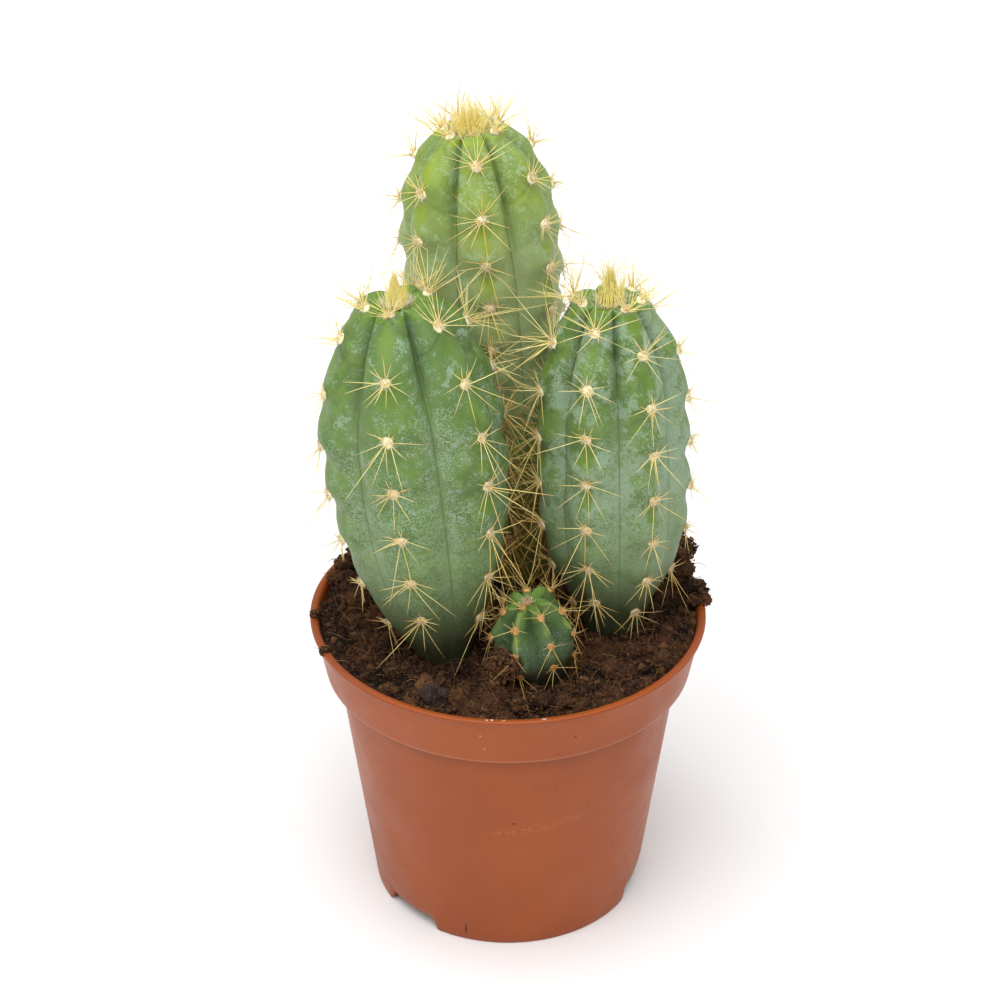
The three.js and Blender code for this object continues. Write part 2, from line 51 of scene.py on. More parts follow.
BODY = "root"
LOG = logging.getLogger("cactus")

# How far spines and fibres may reach to a side.
SIDE_LIMIT = 62.0
# The radius of a bristle one unit long. The size that each point gives it makes it a real one.
GIRTH = 0.02

Piece = bpy.types.Object
Material = bpy.types.Material
Node = bpy.types.Node
Socket = bpy.types.NodeSocket
Tree = bpy.types.NodeTree


class Slot(Enum):
    """The record's material slots."""

    POT = "pot_plastic"
    SOIL = "soil"
    BLUE_GREEN = "flesh_blue_green"
    LIGHT_GREEN = "flesh_light_green"
    DARK_GREEN = "flesh_dark_green"
    GOLD = "golden_tuft"


def srgb(red: float, green: float, blue: float) -> tuple[float, float, float, float]:
    """A colour on the usual scale of 255 as Blender's linear one.

    Args:
        red: Red, from 0 to 255.
        green: Green, from 0 to 255.
        blue: Blue, from 0 to 255.

    Returns:
        Linear red, green, blue and a full alpha.
    """
    def linear(value: float) -> float:
        """One channel, linear."""
        share = value / 255
        return share / 12.92 if share <= 0.04045 else ((share + 0.055) / 1.055) ** 2.4

    return linear(red), linear(green), linear(blue), 1.0


def as_colour(value: object) -> object:
    """A colour of three parts on the scale of 255 as a linear one, and anything else as it is."""
    return srgb(*value) if isinstance(value, tuple) and len(value) == 3 else value


def toned(colour: tuple, share: float) -> tuple:
    """A colour with every part taken to a share of itself."""
    return tuple(share * part for part in colour)


def unit(vectors: np.ndarray) -> np.ndarray:
    """The vectors at length one."""
    return vectors / np.maximum(np.linalg.norm(vectors, axis=-1, keepdims=True), 1e-9)


def ease(low: float, high: float, value: np.ndarray) -> np.ndarray:
    """A smooth step from 0 at low to 1 at high."""
    part = np.clip((value - low) / (high - low), 0, 1)
    return part * part * (3 - 2 * part)


class LumpNoise:
    """Smooth seeded noise over space, for forms too large for a bump map."""

    CELLS = 32

    def __init__(self, seed: int) -> None:
        """Draws the lattice from a seed."""
        self.lattice = np.random.default_rng(seed).uniform(-1, 1, (self.CELLS,) * 3)

    def at(self, points: np.ndarray, size: float) -> np.ndarray:
        """The noise at some points.

        Args:
            points: Places, one row each.
            size: The width of a lump.

        Returns:
            One value from -1 to 1 for each point.
        """
        place = points / size
        low = np.floor(place).astype(int)
        part = place - low
        part = part * part * (3 - 2 * part)
        total = np.zeros(len(points))
        for corner in np.ndindex(2, 2, 2):
            index = (low + corner) % self.CELLS
            weight = np.prod(np.where(corner, part, 1 - part), axis=1)
            total += weight * self.lattice[index[:, 0], index[:, 1], index[:, 2]]
        return total

    def fractal(self, points: np.ndarray, size: float, octaves: int, gain: float = 0.5) -> np.ndarray:
        """Noise over several sizes, each half the one before.

        Args:
            points: Places, one row each.
            size: The width of the largest lump.
            octaves: How many sizes.
            gain: How much each size weighs beside the one before.

        Returns:
            One value for each point, about -1 to 1.
        """
        total = np.zeros(len(points))
        for k in range(octaves):
            total += gain ** k * self.at(points + 7.3 * k, size / 2 ** k)
        return total


def plain_mesh(name: str, points: np.ndarray, faces: list, values: dict | None = None) -> Piece:
    """Makes a smooth mesh object.

    Args:
        name: The object's name.
        points: Places in millimetres, one row each.
        faces: Corner numbers of each face, outward.
        values: Named numbers for each point.

    Returns:
        The new object, linked to the scene.
    """
    mesh = bpy.data.meshes.new(name)
    mesh.from_pydata((points * METRES).tolist(), [], faces)
    for key, data in (values or {}).items():
        layer = mesh.attributes.new(key, "FLOAT", "POINT")
        layer.data.foreach_set("value", np.asarray(data, np.float32).ravel())
    mesh.shade_smooth()
    made = bpy.data.objects.new(name, mesh)
    bpy.context.scene.collection.objects.link(made)
    return made


def applied(piece: Piece) -> Piece:
    """Turns a piece into the plain mesh that its modifiers make, and clears them.

    Args:
        piece: The object with its modifiers set.

    Returns:
        The same object.
    """
    evaluated = piece.evaluated_get(bpy.context.evaluated_depsgraph_get())
    made = bpy.data.meshes.new_from_object(evaluated)
    piece.modifiers.clear()
    piece.data = made
    return piece


def ring(radius: float, angles: np.ndarray, z: float | np.ndarray) -> np.ndarray:
    """Points round the pot's axis, one row each, at one height or a height each."""
    level = z + np.zeros(len(angles))
    return np.stack([radius * np.sin(angles), -radius * np.cos(angles), level], axis=1)


def closed_faces(rows: int, around: int) -> list:
    """The faces of a tube of rings that climb, closed by the mesh's last two points, the lower one first.

    Args:
        rows: How many rings.
        around: Points in a ring, which runs round to the right.

    Returns:
        The corners of each face, outward.
    """
    row, column = np.meshgrid(np.arange(rows - 1), np.arange(around), indexing="ij")
    a = row * around + column
    b = row * around + (column + 1) % around
    faces = np.stack([a, b, b + around, a + around], axis=-1).reshape(-1, 4).tolist()
    bottom, last = rows * around, (rows - 1) * around
    for k in range(around):
        after = (k + 1) % around
        faces += [[bottom, after, k], [bottom + 1, last + k, last + after]]
    return faces


def dress(piece: Piece, material: Material) -> Piece:
    """Gives a piece its material and body.

    Args:
        piece: The finished mesh object.
        material: What it wears.

    Returns:
        The same piece.
    """
    piece.data.materials.clear()
    piece.data.materials.append(material)
    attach(piece, BODY)
    LOG.info("%s: %d faces", piece.name, len(piece.data.polygons))
    return piece


class Graph:
    """A short way to add and join the nodes of one tree."""

    def __init__(self, tree: Tree) -> None:
        """Keeps the tree."""
        self.tree = tree

    def feed(self, node: Node, inputs: dict) -> Node:
        """Sets or links some inputs of a node.

        Args:
            node: The node.
            inputs: Values or output sockets, by input name or number.

        Returns:
            The same node.
        """
        for key, value in inputs.items():
            if isinstance(value, Socket):
                self.tree.links.new(value, node.inputs[key])
            else:
                node.inputs[key].default_value = value
        return node

    def add(self, kind: str, inputs: dict | None = None, **settings: object) -> Node:
        """Adds one node.

        Args:
            kind: The node's type name.
            inputs: Values or output sockets, by input name or number.
            settings: The node's own properties.

        Returns:
            The node.
        """
        node = self.tree.nodes.new(kind)
        for key, value in settings.items():
            setattr(node, key, value)
        return self.feed(node, inputs or {})

    def math(self, operation: str, a: object, b: object = 0.0, clamp: bool = False) -> Socket:
        """One sum of values or sockets."""
        return self.add("ShaderNodeMath", {0: a, 1: b}, operation=operation, use_clamp=clamp).outputs[0]

    def chain(self, operation: str, terms: tuple, clamp: bool) -> Socket:
        """Joins several values by one operation, from the left.

        Args:
            operation: The Math node's operation.
            terms: Values or sockets.
            clamp: Whether each step stays between 0 and 1.

        Returns:
            The answer's socket.
        """
        answer = terms[0]
        for term in terms[1:]:
            answer = self.math(operation, answer, term, clamp)
        return answer

    def plus(self, *terms: object, clamp: bool = False) -> Socket:
        """The sum of values or sockets."""
        return self.chain("ADD", terms, clamp)

    def minus(self, *terms: object, clamp: bool = False) -> Socket:
        """The first value or socket less the others."""
        return self.chain("SUBTRACT", terms, clamp)

    def times(self, *terms: object, clamp: bool = False) -> Socket:
        """The product of values or sockets."""
        return self.chain("MULTIPLY", terms, clamp)

    def span(self, value: object, low: float, high: float, start: object = 0.0, end: object = 1.0,
             smooth: bool = True) -> Socket:
        """A value carried from one range to another.

        Args:
            value: The value or socket.
            low: Where the first range starts.
            high: Where it ends.
            start: What the start becomes.
            end: What the end becomes.
            smooth: Whether it eases at both ends.

        Returns:
            The new value's socket.
        """
        kind = "SMOOTHSTEP" if smooth else "LINEAR"
        return self.add("ShaderNodeMapRange", {0: value, 1: low, 2: high, 3: start, 4: end},
                        interpolation_type=kind).outputs[0]


class ShaderGraph(Graph):
    """Adds the shader nodes that the finishes share, whose textures use one set of coordinates."""

    def __init__(self, tree: Tree, place: Socket | None = None) -> None:
        """Keeps the tree and the coordinates, which are the object's own where none are given."""
        super().__init__(tree)
        self.place = self.add("ShaderNodeTexCoord").outputs["Object"] if place is None else place

    def mix(self, share: object, a: object, b: object) -> Socket:
        """A mix of two colours."""
        return self.add("ShaderNodeMix", {0: share, 6: as_colour(a), 7: as_colour(b)},
                        data_type="RGBA").outputs[2]

    def attribute(self, name: str) -> Socket:
        """A named number kept on the mesh."""
        return self.add("ShaderNodeAttribute", attribute_name=name).outputs["Fac"]

    def noise(self, scale: float, detail: float = 2.0, roughness: float = 0.5,
              distortion: float = 0.0) -> Socket:
        """A noise texture's value."""
        return self.add("ShaderNodeTexNoise", {"Vector": self.place, "Scale": scale, "Detail": detail,
                        "Roughness": roughness, "Distortion": distortion}).outputs[0]

    def swing(self, *texture: object) -> Socket:
        """A noise texture's value less its mean."""
        return self.minus(self.noise(*texture), 0.5)

    def group(self, tree: Tree, inputs: dict) -> Socket:
        """The output of a node group placed with its own values."""
        return self.feed(self.add("ShaderNodeGroup", node_tree=tree), inputs).outputs[0]

    def bump(self, height: Socket, strength: float, distance: float) -> Socket:
        """A normal that follows a height."""
        return self.add("ShaderNodeBump", {"Strength": strength, "Distance": distance,
                        "Height": height}).outputs[0]


def new_material(name: str) -> tuple[Material, ShaderGraph, Node]:
    """Starts a material.

    Args:
        name: The material's name.

    Returns:
        The material, its graph and its Principled shader.
    """
    material = bpy.data.materials.new(name)
    material.use_nodes = True
    graph = ShaderGraph(material.node_tree)
    return material, graph, material.node_tree.nodes["Principled BSDF"]


def new_group(name: str, inputs: dict[str, float], output: str) -> tuple[ShaderGraph, dict, Node]:
    """Starts a shader node group.

    Args:
        name: The group's name.
        inputs: Names and first values of its number inputs.
        output: The name of its output.

    Returns:
        The graph, the input sockets by name and the output node.
    """
    tree = bpy.data.node_groups.new(name, "ShaderNodeTree")
    tree.interface.new_socket("Place", in_out="INPUT", socket_type="NodeSocketVector")
    for key, value in inputs.items():
        tree.interface.new_socket(key, in_out="INPUT", socket_type="NodeSocketFloat").default_value = value
    tree.interface.new_socket(output, in_out="OUTPUT", socket_type="NodeSocketFloat")
    start = tree.nodes.new("NodeGroupInput")
    end = tree.nodes.new("NodeGroupOutput")
    return ShaderGraph(tree, start.outputs["Place"]), {socket.name: socket for socket in start.outputs}, end


def bloom_group() -> Tree:
    """The waxy bloom of a cactus: a worm-like web, denser in patches, and solid blots with map-like edges.

    Returns:
        The group.
    """
    graph, inputs, end = new_group("waxy_bloom", {"Cover": 0.5, "Blots": 0.3}, "Bloom")
    wide = graph.times(graph.swing(62, 2), 1.3)
    patchy = graph.times(graph.swing(235, 3, 0.6), 2.0)
    density = graph.plus(graph.plus(wide, patchy), inputs["Cover"], clamp=True)
    line = graph.math("ABSOLUTE", graph.swing(820, 1.5, 0.5, 1.2))
    thick = graph.plus(0.008, graph.times(density, 0.075))
    net = graph.times(graph.minus(thick, line), 40.0, clamp=True)
    net = graph.times(net, graph.span(density, 0.0, 0.55, 0.25, 1.0))
    edge = graph.noise(150, 5, 0.68)
    blot = graph.minus(graph.plus(edge, graph.times(inputs["Blots"], 0.3)), 0.64)
    blot = graph.times(blot, 26.0, clamp=True)
    worn = graph.span(graph.noise(1500, 2, 0.7), 0.36, 0.56, 0.45, 1.0)
    graph.feed(end, {"Bloom": graph.math("MAXIMUM", net, graph.times(blot, worn))})
    return graph.tree


def speck_group() -> Tree:
    """Scattered specks: few, round, and of uneven size.

    Returns:
        The group.
    """
    first = {"Spacing": 100.0, "Width": 0.1, "Share": 0.5}
    graph, inputs, end = new_group("scattered_specks", first, "Specks")
    cells = graph.add("ShaderNodeTexVoronoi", {"Vector": inputs["Place"], "Scale": inputs["Spacing"]})
    chance = graph.add("ShaderNodeSeparateColor", {0: cells.outputs["Color"]}).outputs[0]
    kept = graph.math("LESS_THAN", chance, inputs["Share"])
    away = graph.math("DIVIDE", cells.outputs["Distance"], inputs["Width"])
    sharp = graph.times(graph.minus(1.0, away, clamp=True), 2.5, clamp=True)
    graph.feed(end, {"Specks": graph.times(kept, sharp)})
    return graph.tree


@dataclass(frozen=True)
class FleshFinish:
    """The skin of a stem: a mottled green ground, young and rubbed places and a waxy bloom, with painted
    shade in the grooves and creases and, partly, towards the foot.
    """

    name: str
    deep: tuple
    light: tuple
    teal: tuple
    young: tuple
    rubbed: tuple
    bloom: tuple
    # Towards the foot the skin turns to the base colour: partly the foot's own tint, partly painted shade
    # from the soil and the stems beside it.
    base: tuple
    cover: float
    blots: float
    haze: float
    seed: float
    base_from: float = 0.05
    base_to: float = 0.44
    # How much paler the middle of the stem is made with haze: partly bloom, partly painted light where the
    # stems in front shade it.
    veil_and_light: float = 0.0

    # What the wax's web adds to the bloom's colour, and the colour of the finest dots.
    LACE = (-6, 2, 8)
    DOTS = (92, 88, 40)

    def ground(self, graph: ShaderGraph) -> Socket:
        """The green under the bloom, which turns to the base colour towards the foot: partly the foot's own
        tint and partly painted shade.

        Args:
            graph: The material's graph.

        Returns:
            The colour's socket.
        """
        mottle = graph.span(graph.noise(140, 4, 0.62), 0.36, 0.64)
        cool = graph.span(graph.noise(48, 3, 0.55), 0.38, 0.66, 0.0, 0.75)
        green = graph.mix(cool, graph.mix(mottle, self.deep, self.light), self.teal)
        height, crest = graph.attribute("height"), graph.attribute("crest")
        ridge = graph.times(graph.span(crest, 0.66, 1.0), graph.span(height, 0.35, 0.97, 0.0, 0.6),
                            graph.span(graph.noise(85, 2), 0.36, 0.6))
        green = graph.mix(ridge, green, self.rubbed)
        # Painted shade, partly: the base colour towards the foot.
        return graph.mix(graph.span(height, self.base_from, self.base_to, 1.0, 0.0), green, self.base)

    def wax(self, graph: ShaderGraph, bloom: Tree) -> Socket:
        """How thick the web and the blots of wax are, also where the skin is bare.

        Args:
            graph: The material's graph.
            bloom: The waxy bloom group.

        Returns:
            The share's socket.
        """
        height, crest, coat = (graph.attribute(name) for name in ("height", "crest", "coat"))
        outer = graph.times(coat, graph.attribute("outer"))
        cover = graph.plus(self.cover, graph.span(height, 0.15, 0.95, 0.48, -0.2),
                           graph.span(crest, 0.12, 0.6, 0.2, 0.0), graph.span(crest, 0.03, 0.13, -0.4, 0.0),
                           graph.times(coat, 0.04), graph.times(outer, 0.2))
        blots = graph.plus(self.blots, graph.times(coat, 0.33), graph.times(outer, 0.25))
        return graph.times(graph.group(bloom, {"Place": graph.place, "Cover": cover, "Blots": blots}),
                           graph.span(height, self.base_from, self.base_to, 0.1, 0.8),
                           graph.span(height, 0.25, 0.6, 0.45, 1.0))

    def mist(self, graph: ShaderGraph) -> Socket:
        """How thick the even haze of bloom is between the web's lines.

        Args:
            graph: The material's graph.

        Returns:
            The share's socket.
        """
        height, crest, coat = (graph.attribute(name) for name in ("height", "crest", "coat"))
        outer = graph.times(coat, graph.attribute("outer"))
        haze = graph.times(graph.span(height, 0.05, 0.75, 1.0, 0.35), self.haze,
                           graph.span(graph.noise(90, 3, 0.6), 0.3, 0.7, 0.6, 1.2))
        open_side = graph.plus(graph.times(coat, 0.08), graph.times(outer, 0.18))
        # Painted light, partly: a paler band of haze on the stem's middle, against the shade of the stems in
        # front.
        veil_and_light = graph.times(graph.span(height, 0.35, 0.5, 0.0, self.veil_and_light),
                           graph.span(height, 0.7, 0.92, 1.0, 0.0))
        haze = graph.plus(haze, graph.span(crest, 0.02, 0.4, 0.16, 0.0),
                          graph.times(open_side, graph.span(height, 0.55, 0.85, 1.0, 0.0)), veil_and_light, clamp=True)
        return graph.times(haze, graph.span(height, self.base_from, self.base_to, 0.2, 1.0))

    def build(self, bloom: Tree) -> Material:
        """Makes the material.

        Args:
            bloom: The waxy bloom group.

        Returns:
            The material.
        """
        material, graph, shader = new_material(self.name)
        shift = (self.seed, 0.3 * self.seed, 0.0)
        graph.place = graph.add("ShaderNodeMapping", {0: graph.place, 1: shift}).outputs[0]
        crest, height = graph.attribute("crest"), graph.attribute("height")
        ragged = graph.swing(330, 3, 0.6)
        bare = graph.span(graph.plus(graph.attribute("bare"), graph.times(ragged, 2.6)), -0.2, 0.5)
        bare = graph.times(bare, graph.span(graph.noise(75, 2), 0.36, 0.6))
        young = graph.span(graph.plus(graph.attribute("young"), graph.times(ragged, 2.5)), -0.7, 0.7)
        kept = graph.minus(1.0, graph.math("MAXIMUM", bare, graph.times(young, 0.8)), clamp=True)
        colour = graph.mix(graph.times(young, 0.85), self.ground(graph), self.young)
        colour = graph.mix(graph.times(self.mist(graph), kept), colour, self.bloom)
        wax = graph.times(self.wax(graph, bloom), kept)
        colour = graph.mix(wax, colour, tuple(a + b for a, b in zip(self.bloom, self.LACE)))
        colour = graph.mix(graph.times(bare, 0.6), colour, self.rubbed)
        # Painted shade: a darker line along the grooves between the ribs.
        groove = graph.times(graph.span(crest, 0.0, 0.045, 1.0, 0.0), graph.span(height, 0.2, 0.9, 0.45, 0.6))
        colour = graph.mix(groove, colour, toned(self.deep, 0.9))
        dots = graph.times(graph.span(graph.noise(2100, 2, 0.7), 0.5, 0.66),
                           graph.span(graph.noise(260, 2), 0.34, 0.62),
                           graph.span(height, 0.3, 0.8, 0.45, 0.25))
        colour = graph.mix(dots, colour, self.DOTS)
        # Painted shade in the creases above the cushions.
        colour = graph.mix(graph.times(graph.attribute("crease"), 0.35), colour, toned(self.deep, 0.85))
        skin = graph.plus(graph.noise(900, 3, 0.6), graph.times(wax, 0.4))
        graph.feed(shader, {"Base Color": colour, "Roughness": graph.plus(0.45, graph.times(wax, 0.2)),
                            "Specular IOR Level": 0.22, "Subsurface Weight": 0.08,
                            "Subsurface Radius": (0.6, 1.0, 0.3), "Subsurface Scale": 0.002,
                            "Normal": graph.bump(skin, 0.18, 0.0006)})
        return material


@dataclass(frozen=True)
class SpineFinish:
    """Spines, wool or tufts: pale and old colours, and the tip's colour."""

    name: str
    pale: tuple
    old: tuple
    tip: tuple
    tip_from: float
    roughness: float

    def build(self) -> Material:
        """Makes the material, which reads how far along a bristle a point is and how old it is.

        Returns:
            The material.
        """
        material, graph, shader = new_material(self.name)
        along, shade = graph.attribute("along"), graph.attribute("shade")
        colour = graph.mix(shade, self.pale, self.old)
        colour = graph.mix(graph.span(along, 0.0, 0.22, 0.45, 0.0), colour, self.old)
        end = graph.times(graph.span(along, self.tip_from, 1.0), graph.plus(0.35, shade, clamp=True))
        colour = graph.mix(end, colour, self.tip)
        streak = graph.span(graph.noise(700, 2), 0.3, 0.7, 0.0, 0.12)
        colour = graph.mix(streak, colour, toned(self.pale, 0.85))
        grain = graph.noise(4000, 2)
        graph.feed(shader, {"Base Color": colour, "Roughness": self.roughness, "Specular IOR Level": 0.3,
                            "Subsurface Weight": 0.35, "Subsurface Radius": (1.0, 0.8, 0.5),
                            "Subsurface Scale": 0.001, "Normal": graph.bump(grain, 0.2, 0.0001)})
        return material


@dataclass(frozen=True)
class PotFinish:
    """Terracotta-coloured moulded plastic with the marks of use, painted shade under the collar and in the
    lip's groove, and a painted highlight on the collar's lower edge.
    """

    colour: tuple = (145, 67, 20)
    warm: tuple = (152, 73, 25)
    # Real dust on the plastic, and also the colour of the painted highlight on the collar's lower edge.
    dust_and_highlight: tuple = (196, 148, 116)
    # Also the colour of the painted shade under the collar and in the lip's groove.
    speck_and_shade: tuple = (84, 42, 28)
    pale_speck: tuple = (232, 214, 200)
    scratch: tuple = (188, 118, 72)
    nick: tuple = (70, 34, 22)

    # Each mark is its place and its half widths in millimetres, and its strength.
    NICKS = (((1.7, -48.6, 51.6), (1.0, 2, 0.4), 0.8), ((-12.9, -40.6, 4.6), (0.5, 3, 2.6), 0.85),
             ((19.3, -54, 87.5), (0.5, 2, 0.7), 0.7), ((34.1, -36.2, 59.9), (0.5, 2, 0.5), 0.6),
             ((23.4, -43.2, 55.2), (0.4, 2, 0.5), 0.6), ((-31.8, -31.7, 22.5), (0.4, 2, 0.5), 0.7),
             ((8.1, -49.9, 66), (0.5, 2, 0.4), 0.5), ((32.1, -32.9, 30.9), (0.4, 2, 0.5), 0.5))
    CHALK = (((-29, -49.6, 87.7), (0.4, 2, 0.5), 0.7), ((-6.8, -56.5, 84.8), (0.4, 2, 0.5), 0.7),
             ((-6.1, -58.4, 96.4), (0.5, 0.7, 1), 1.0), ((-4.8, -58.5, 96.4), (0.5, 0.7, 1), 1.0),
             ((-1.6, -58.6, 96.4), (0.8, 0.6, 1), 0.8), ((10.1, -58, 96.4), (0.9, 0.5, 1), 0.8))
    # The long scratch's place and half widths, and the height in metres and the strength of each line of it.
    SCRATCH = ((9, -46, 49.5), (17, 30, 9))
    SCRATCH_LINES = ((0.0483, 0.45), (0.0473, 0.25), (0.0496, 0.15))

    @staticmethod
    def near(graph: ShaderGraph, spot: tuple, reach: tuple, gain: float = 2.5) -> Socket:
        """How near a point is to a spot on the pot: 1 at the spot and 0 beyond its reach.

        Args:
            graph: The material's graph.
            spot: The spot in millimetres.
            reach: The half width along X, Y and Z in millimetres.
            gain: How fast it rises from the reach inwards.

        Returns:
            The share's socket.
        """
        centre = tuple(v * METRES for v in spot)
        away = graph.add("ShaderNodeVectorMath", {0: graph.place, 1: centre}, operation="SUBTRACT").outputs[0]
        widths = tuple(1 / (v * METRES) for v in reach)
        scaled = graph.add("ShaderNodeVectorMath", {0: away, 1: widths}, operation="MULTIPLY").outputs[0]
        length = graph.add("ShaderNodeVectorMath", {0: scaled}, operation="LENGTH").outputs["Value"]
        return graph.times(graph.minus(1.0, length, clamp=True), gain, clamp=True)

    def banded(self, graph: ShaderGraph, high: Socket, colour: Socket) -> Socket:
        """Adds painted shade in a band under the collar and in the lip's groove, and a painted highlight on
        the collar's pale lower edge.

        Args:
            graph: The material's graph.
            high: The height in metres.
            colour: The plastic's colour.

        Returns:
            The colour's socket.
        """
        # Painted shade: a darker band on the body just under the collar.
        under = graph.times(graph.span(high, 0.0722, 0.0765), graph.math("LESS_THAN", high, 0.0787))
        colour = graph.mix(graph.times(under, 0.22), colour, self.speck_and_shade)
        # Painted shade in the groove under the lip.
        groove = graph.times(graph.span(high, 0.0934, 0.0944), graph.span(high, 0.0949, 0.0951, 1.0, 0.0))
        colour = graph.mix(graph.times(groove, 0.25), colour, self.speck_and_shade)
        # Painted highlight along the collar's rounded lower edge.
        edge = graph.times(graph.span(high, 0.0788, 0.0792), graph.span(high, 0.0796, 0.0802, 1.0, 0.0))
        return graph.mix(graph.times(edge, 0.16), colour, self.dust_and_highlight)

    def scratched(self, graph: ShaderGraph, colour: Socket) -> Socket:
        """Adds the long scratch, the nicks and the chalky scuffs.

        Args:
            graph: The material's graph.
            colour: The plastic's colour.

        Returns:
            The colour's socket.
        """
        split = graph.add("ShaderNodeSeparateXYZ", {0: graph.place})
        across, high = split.outputs[0], split.outputs[2]
        wave = graph.times(graph.swing(70, 2), 0.003)
        arc = graph.minus(graph.times(across, 0.17), graph.times(graph.times(across, across), 3.2))
        for base, strength in self.SCRATCH_LINES:
            line = graph.minus(graph.plus(graph.minus(high, base), wave), arc)
            thin = graph.span(graph.math("ABSOLUTE", line), 0.0001, 0.00035, 1.0, 0.0)
            broken = graph.span(graph.noise(500, 2), 0.4, 0.55)
            line = graph.times(thin, self.near(graph, *self.SCRATCH, gain=3.0), broken)
            colour = graph.mix(graph.times(line, strength), colour, self.scratch)
        for spot, reach, strength in self.NICKS:
            mark = self.near(graph, spot, reach)
            colour = graph.mix(graph.times(mark, strength), colour, self.nick)
        for spot, reach, strength in self.CHALK:
            mark = graph.times(self.near(graph, spot, reach),
                               graph.span(graph.noise(900, 3, 0.7), 0.42, 0.56))
            colour = graph.mix(graph.times(mark, strength), colour, self.pale_speck)
        return colour

    def build(self, specks: Tree) -> Material:
        """Makes the material.

        Args:
            specks: The scattered specks group.

        Returns:
            The material.
        """
        material, graph, shader = new_material("pot_plastic")
        broad, fine = graph.noise(22, 3, 0.55), graph.noise(1400, 2, 0.6)
        colour = graph.mix(graph.span(broad, 0.35, 0.65), self.colour, self.warm)
        colour = graph.mix(graph.span(fine, 0.4, 0.75, 0.0, 0.03), colour, self.dust_and_highlight)
        high = graph.add("ShaderNodeSeparateXYZ", {0: graph.place}).outputs[2]
        colour = self.scratched(graph, self.banded(graph, high, colour))
        dark = graph.group(specks, {"Place": graph.place, "Spacing": 150, "Width": 0.055, "Share": 0.14})
        colour = graph.mix(graph.times(dark, 0.7), colour, self.speck_and_shade)
        pale = graph.group(specks, {"Place": graph.place, "Spacing": 120, "Width": 0.035, "Share": 0.05})
        colour = graph.mix(graph.times(pale, 0.55), colour, self.pale_speck)
        rough = graph.span(graph.noise(60, 4, 0.65), 0.3, 0.7, 0.36, 0.5)
        height = graph.plus(graph.times(broad, 0.6), graph.times(fine, 0.05))
        graph.feed(shader, {"Base Color": colour, "Roughness": rough, "Specular IOR Level": 0.3,
                            "Subsurface Weight": 0.05, "Subsurface Scale": 0.002,
                            "Normal": graph.bump(height, 0.12, 0.001)})
        return material


@dataclass(frozen=True)
class PeatFinish:
    """Damp dark peat, its crumbs and its fibres."""

    name: str
    dark: tuple
    mid: tuple
    pale: tuple

    SLATE = (74, 70, 68)

    def build(self) -> Material:
        """Makes the material, whose crumbs differ by their own shade, and turn to slate where it is below 0.

        Returns:
            The material.
        """
        material, graph, shader = new_material(self.name)
        shade = graph.attribute("shade")
        broad, fine = graph.noise(90, 5, 0.65), graph.noise(1100, 4, 0.7)
        mixed = graph.plus(graph.times(broad, 0.55), graph.times(fine, 0.45))
        colour = graph.mix(graph.span(mixed, 0.43, 0.58), self.dark, self.mid)
        flecks = graph.span(graph.noise(1700, 3, 0.7, 1.5), 0.6, 0.75)
        colour = graph.mix(graph.times(flecks, 0.6), colour, self.pale)
        web = graph.math("ABSOLUTE", graph.swing(420, 2, 0.6, 1.8))
        hair = graph.times(graph.span(web, 0.006, 0.02, 1.0, 0.0),
                           graph.span(graph.noise(640, 2), 0.5, 0.58))
        colour = graph.mix(graph.times(hair, 0.7), colour, self.pale)
        colour = graph.mix(graph.times(shade, 0.75, clamp=True), colour, self.pale)
        grey = graph.times(graph.times(shade, -1.0, clamp=True), graph.span(broad, 0.36, 0.52))
        colour = graph.mix(grey, colour, self.SLATE)
        height = graph.plus(fine, graph.times(graph.noise(3200, 3, 0.7), 0.5))
        graph.feed(shader, {"Base Color": colour, "Roughness": 0.95, "Specular IOR Level": 0.25,
                            "Normal": graph.bump(height, 1.0, 0.0013)})
        return material


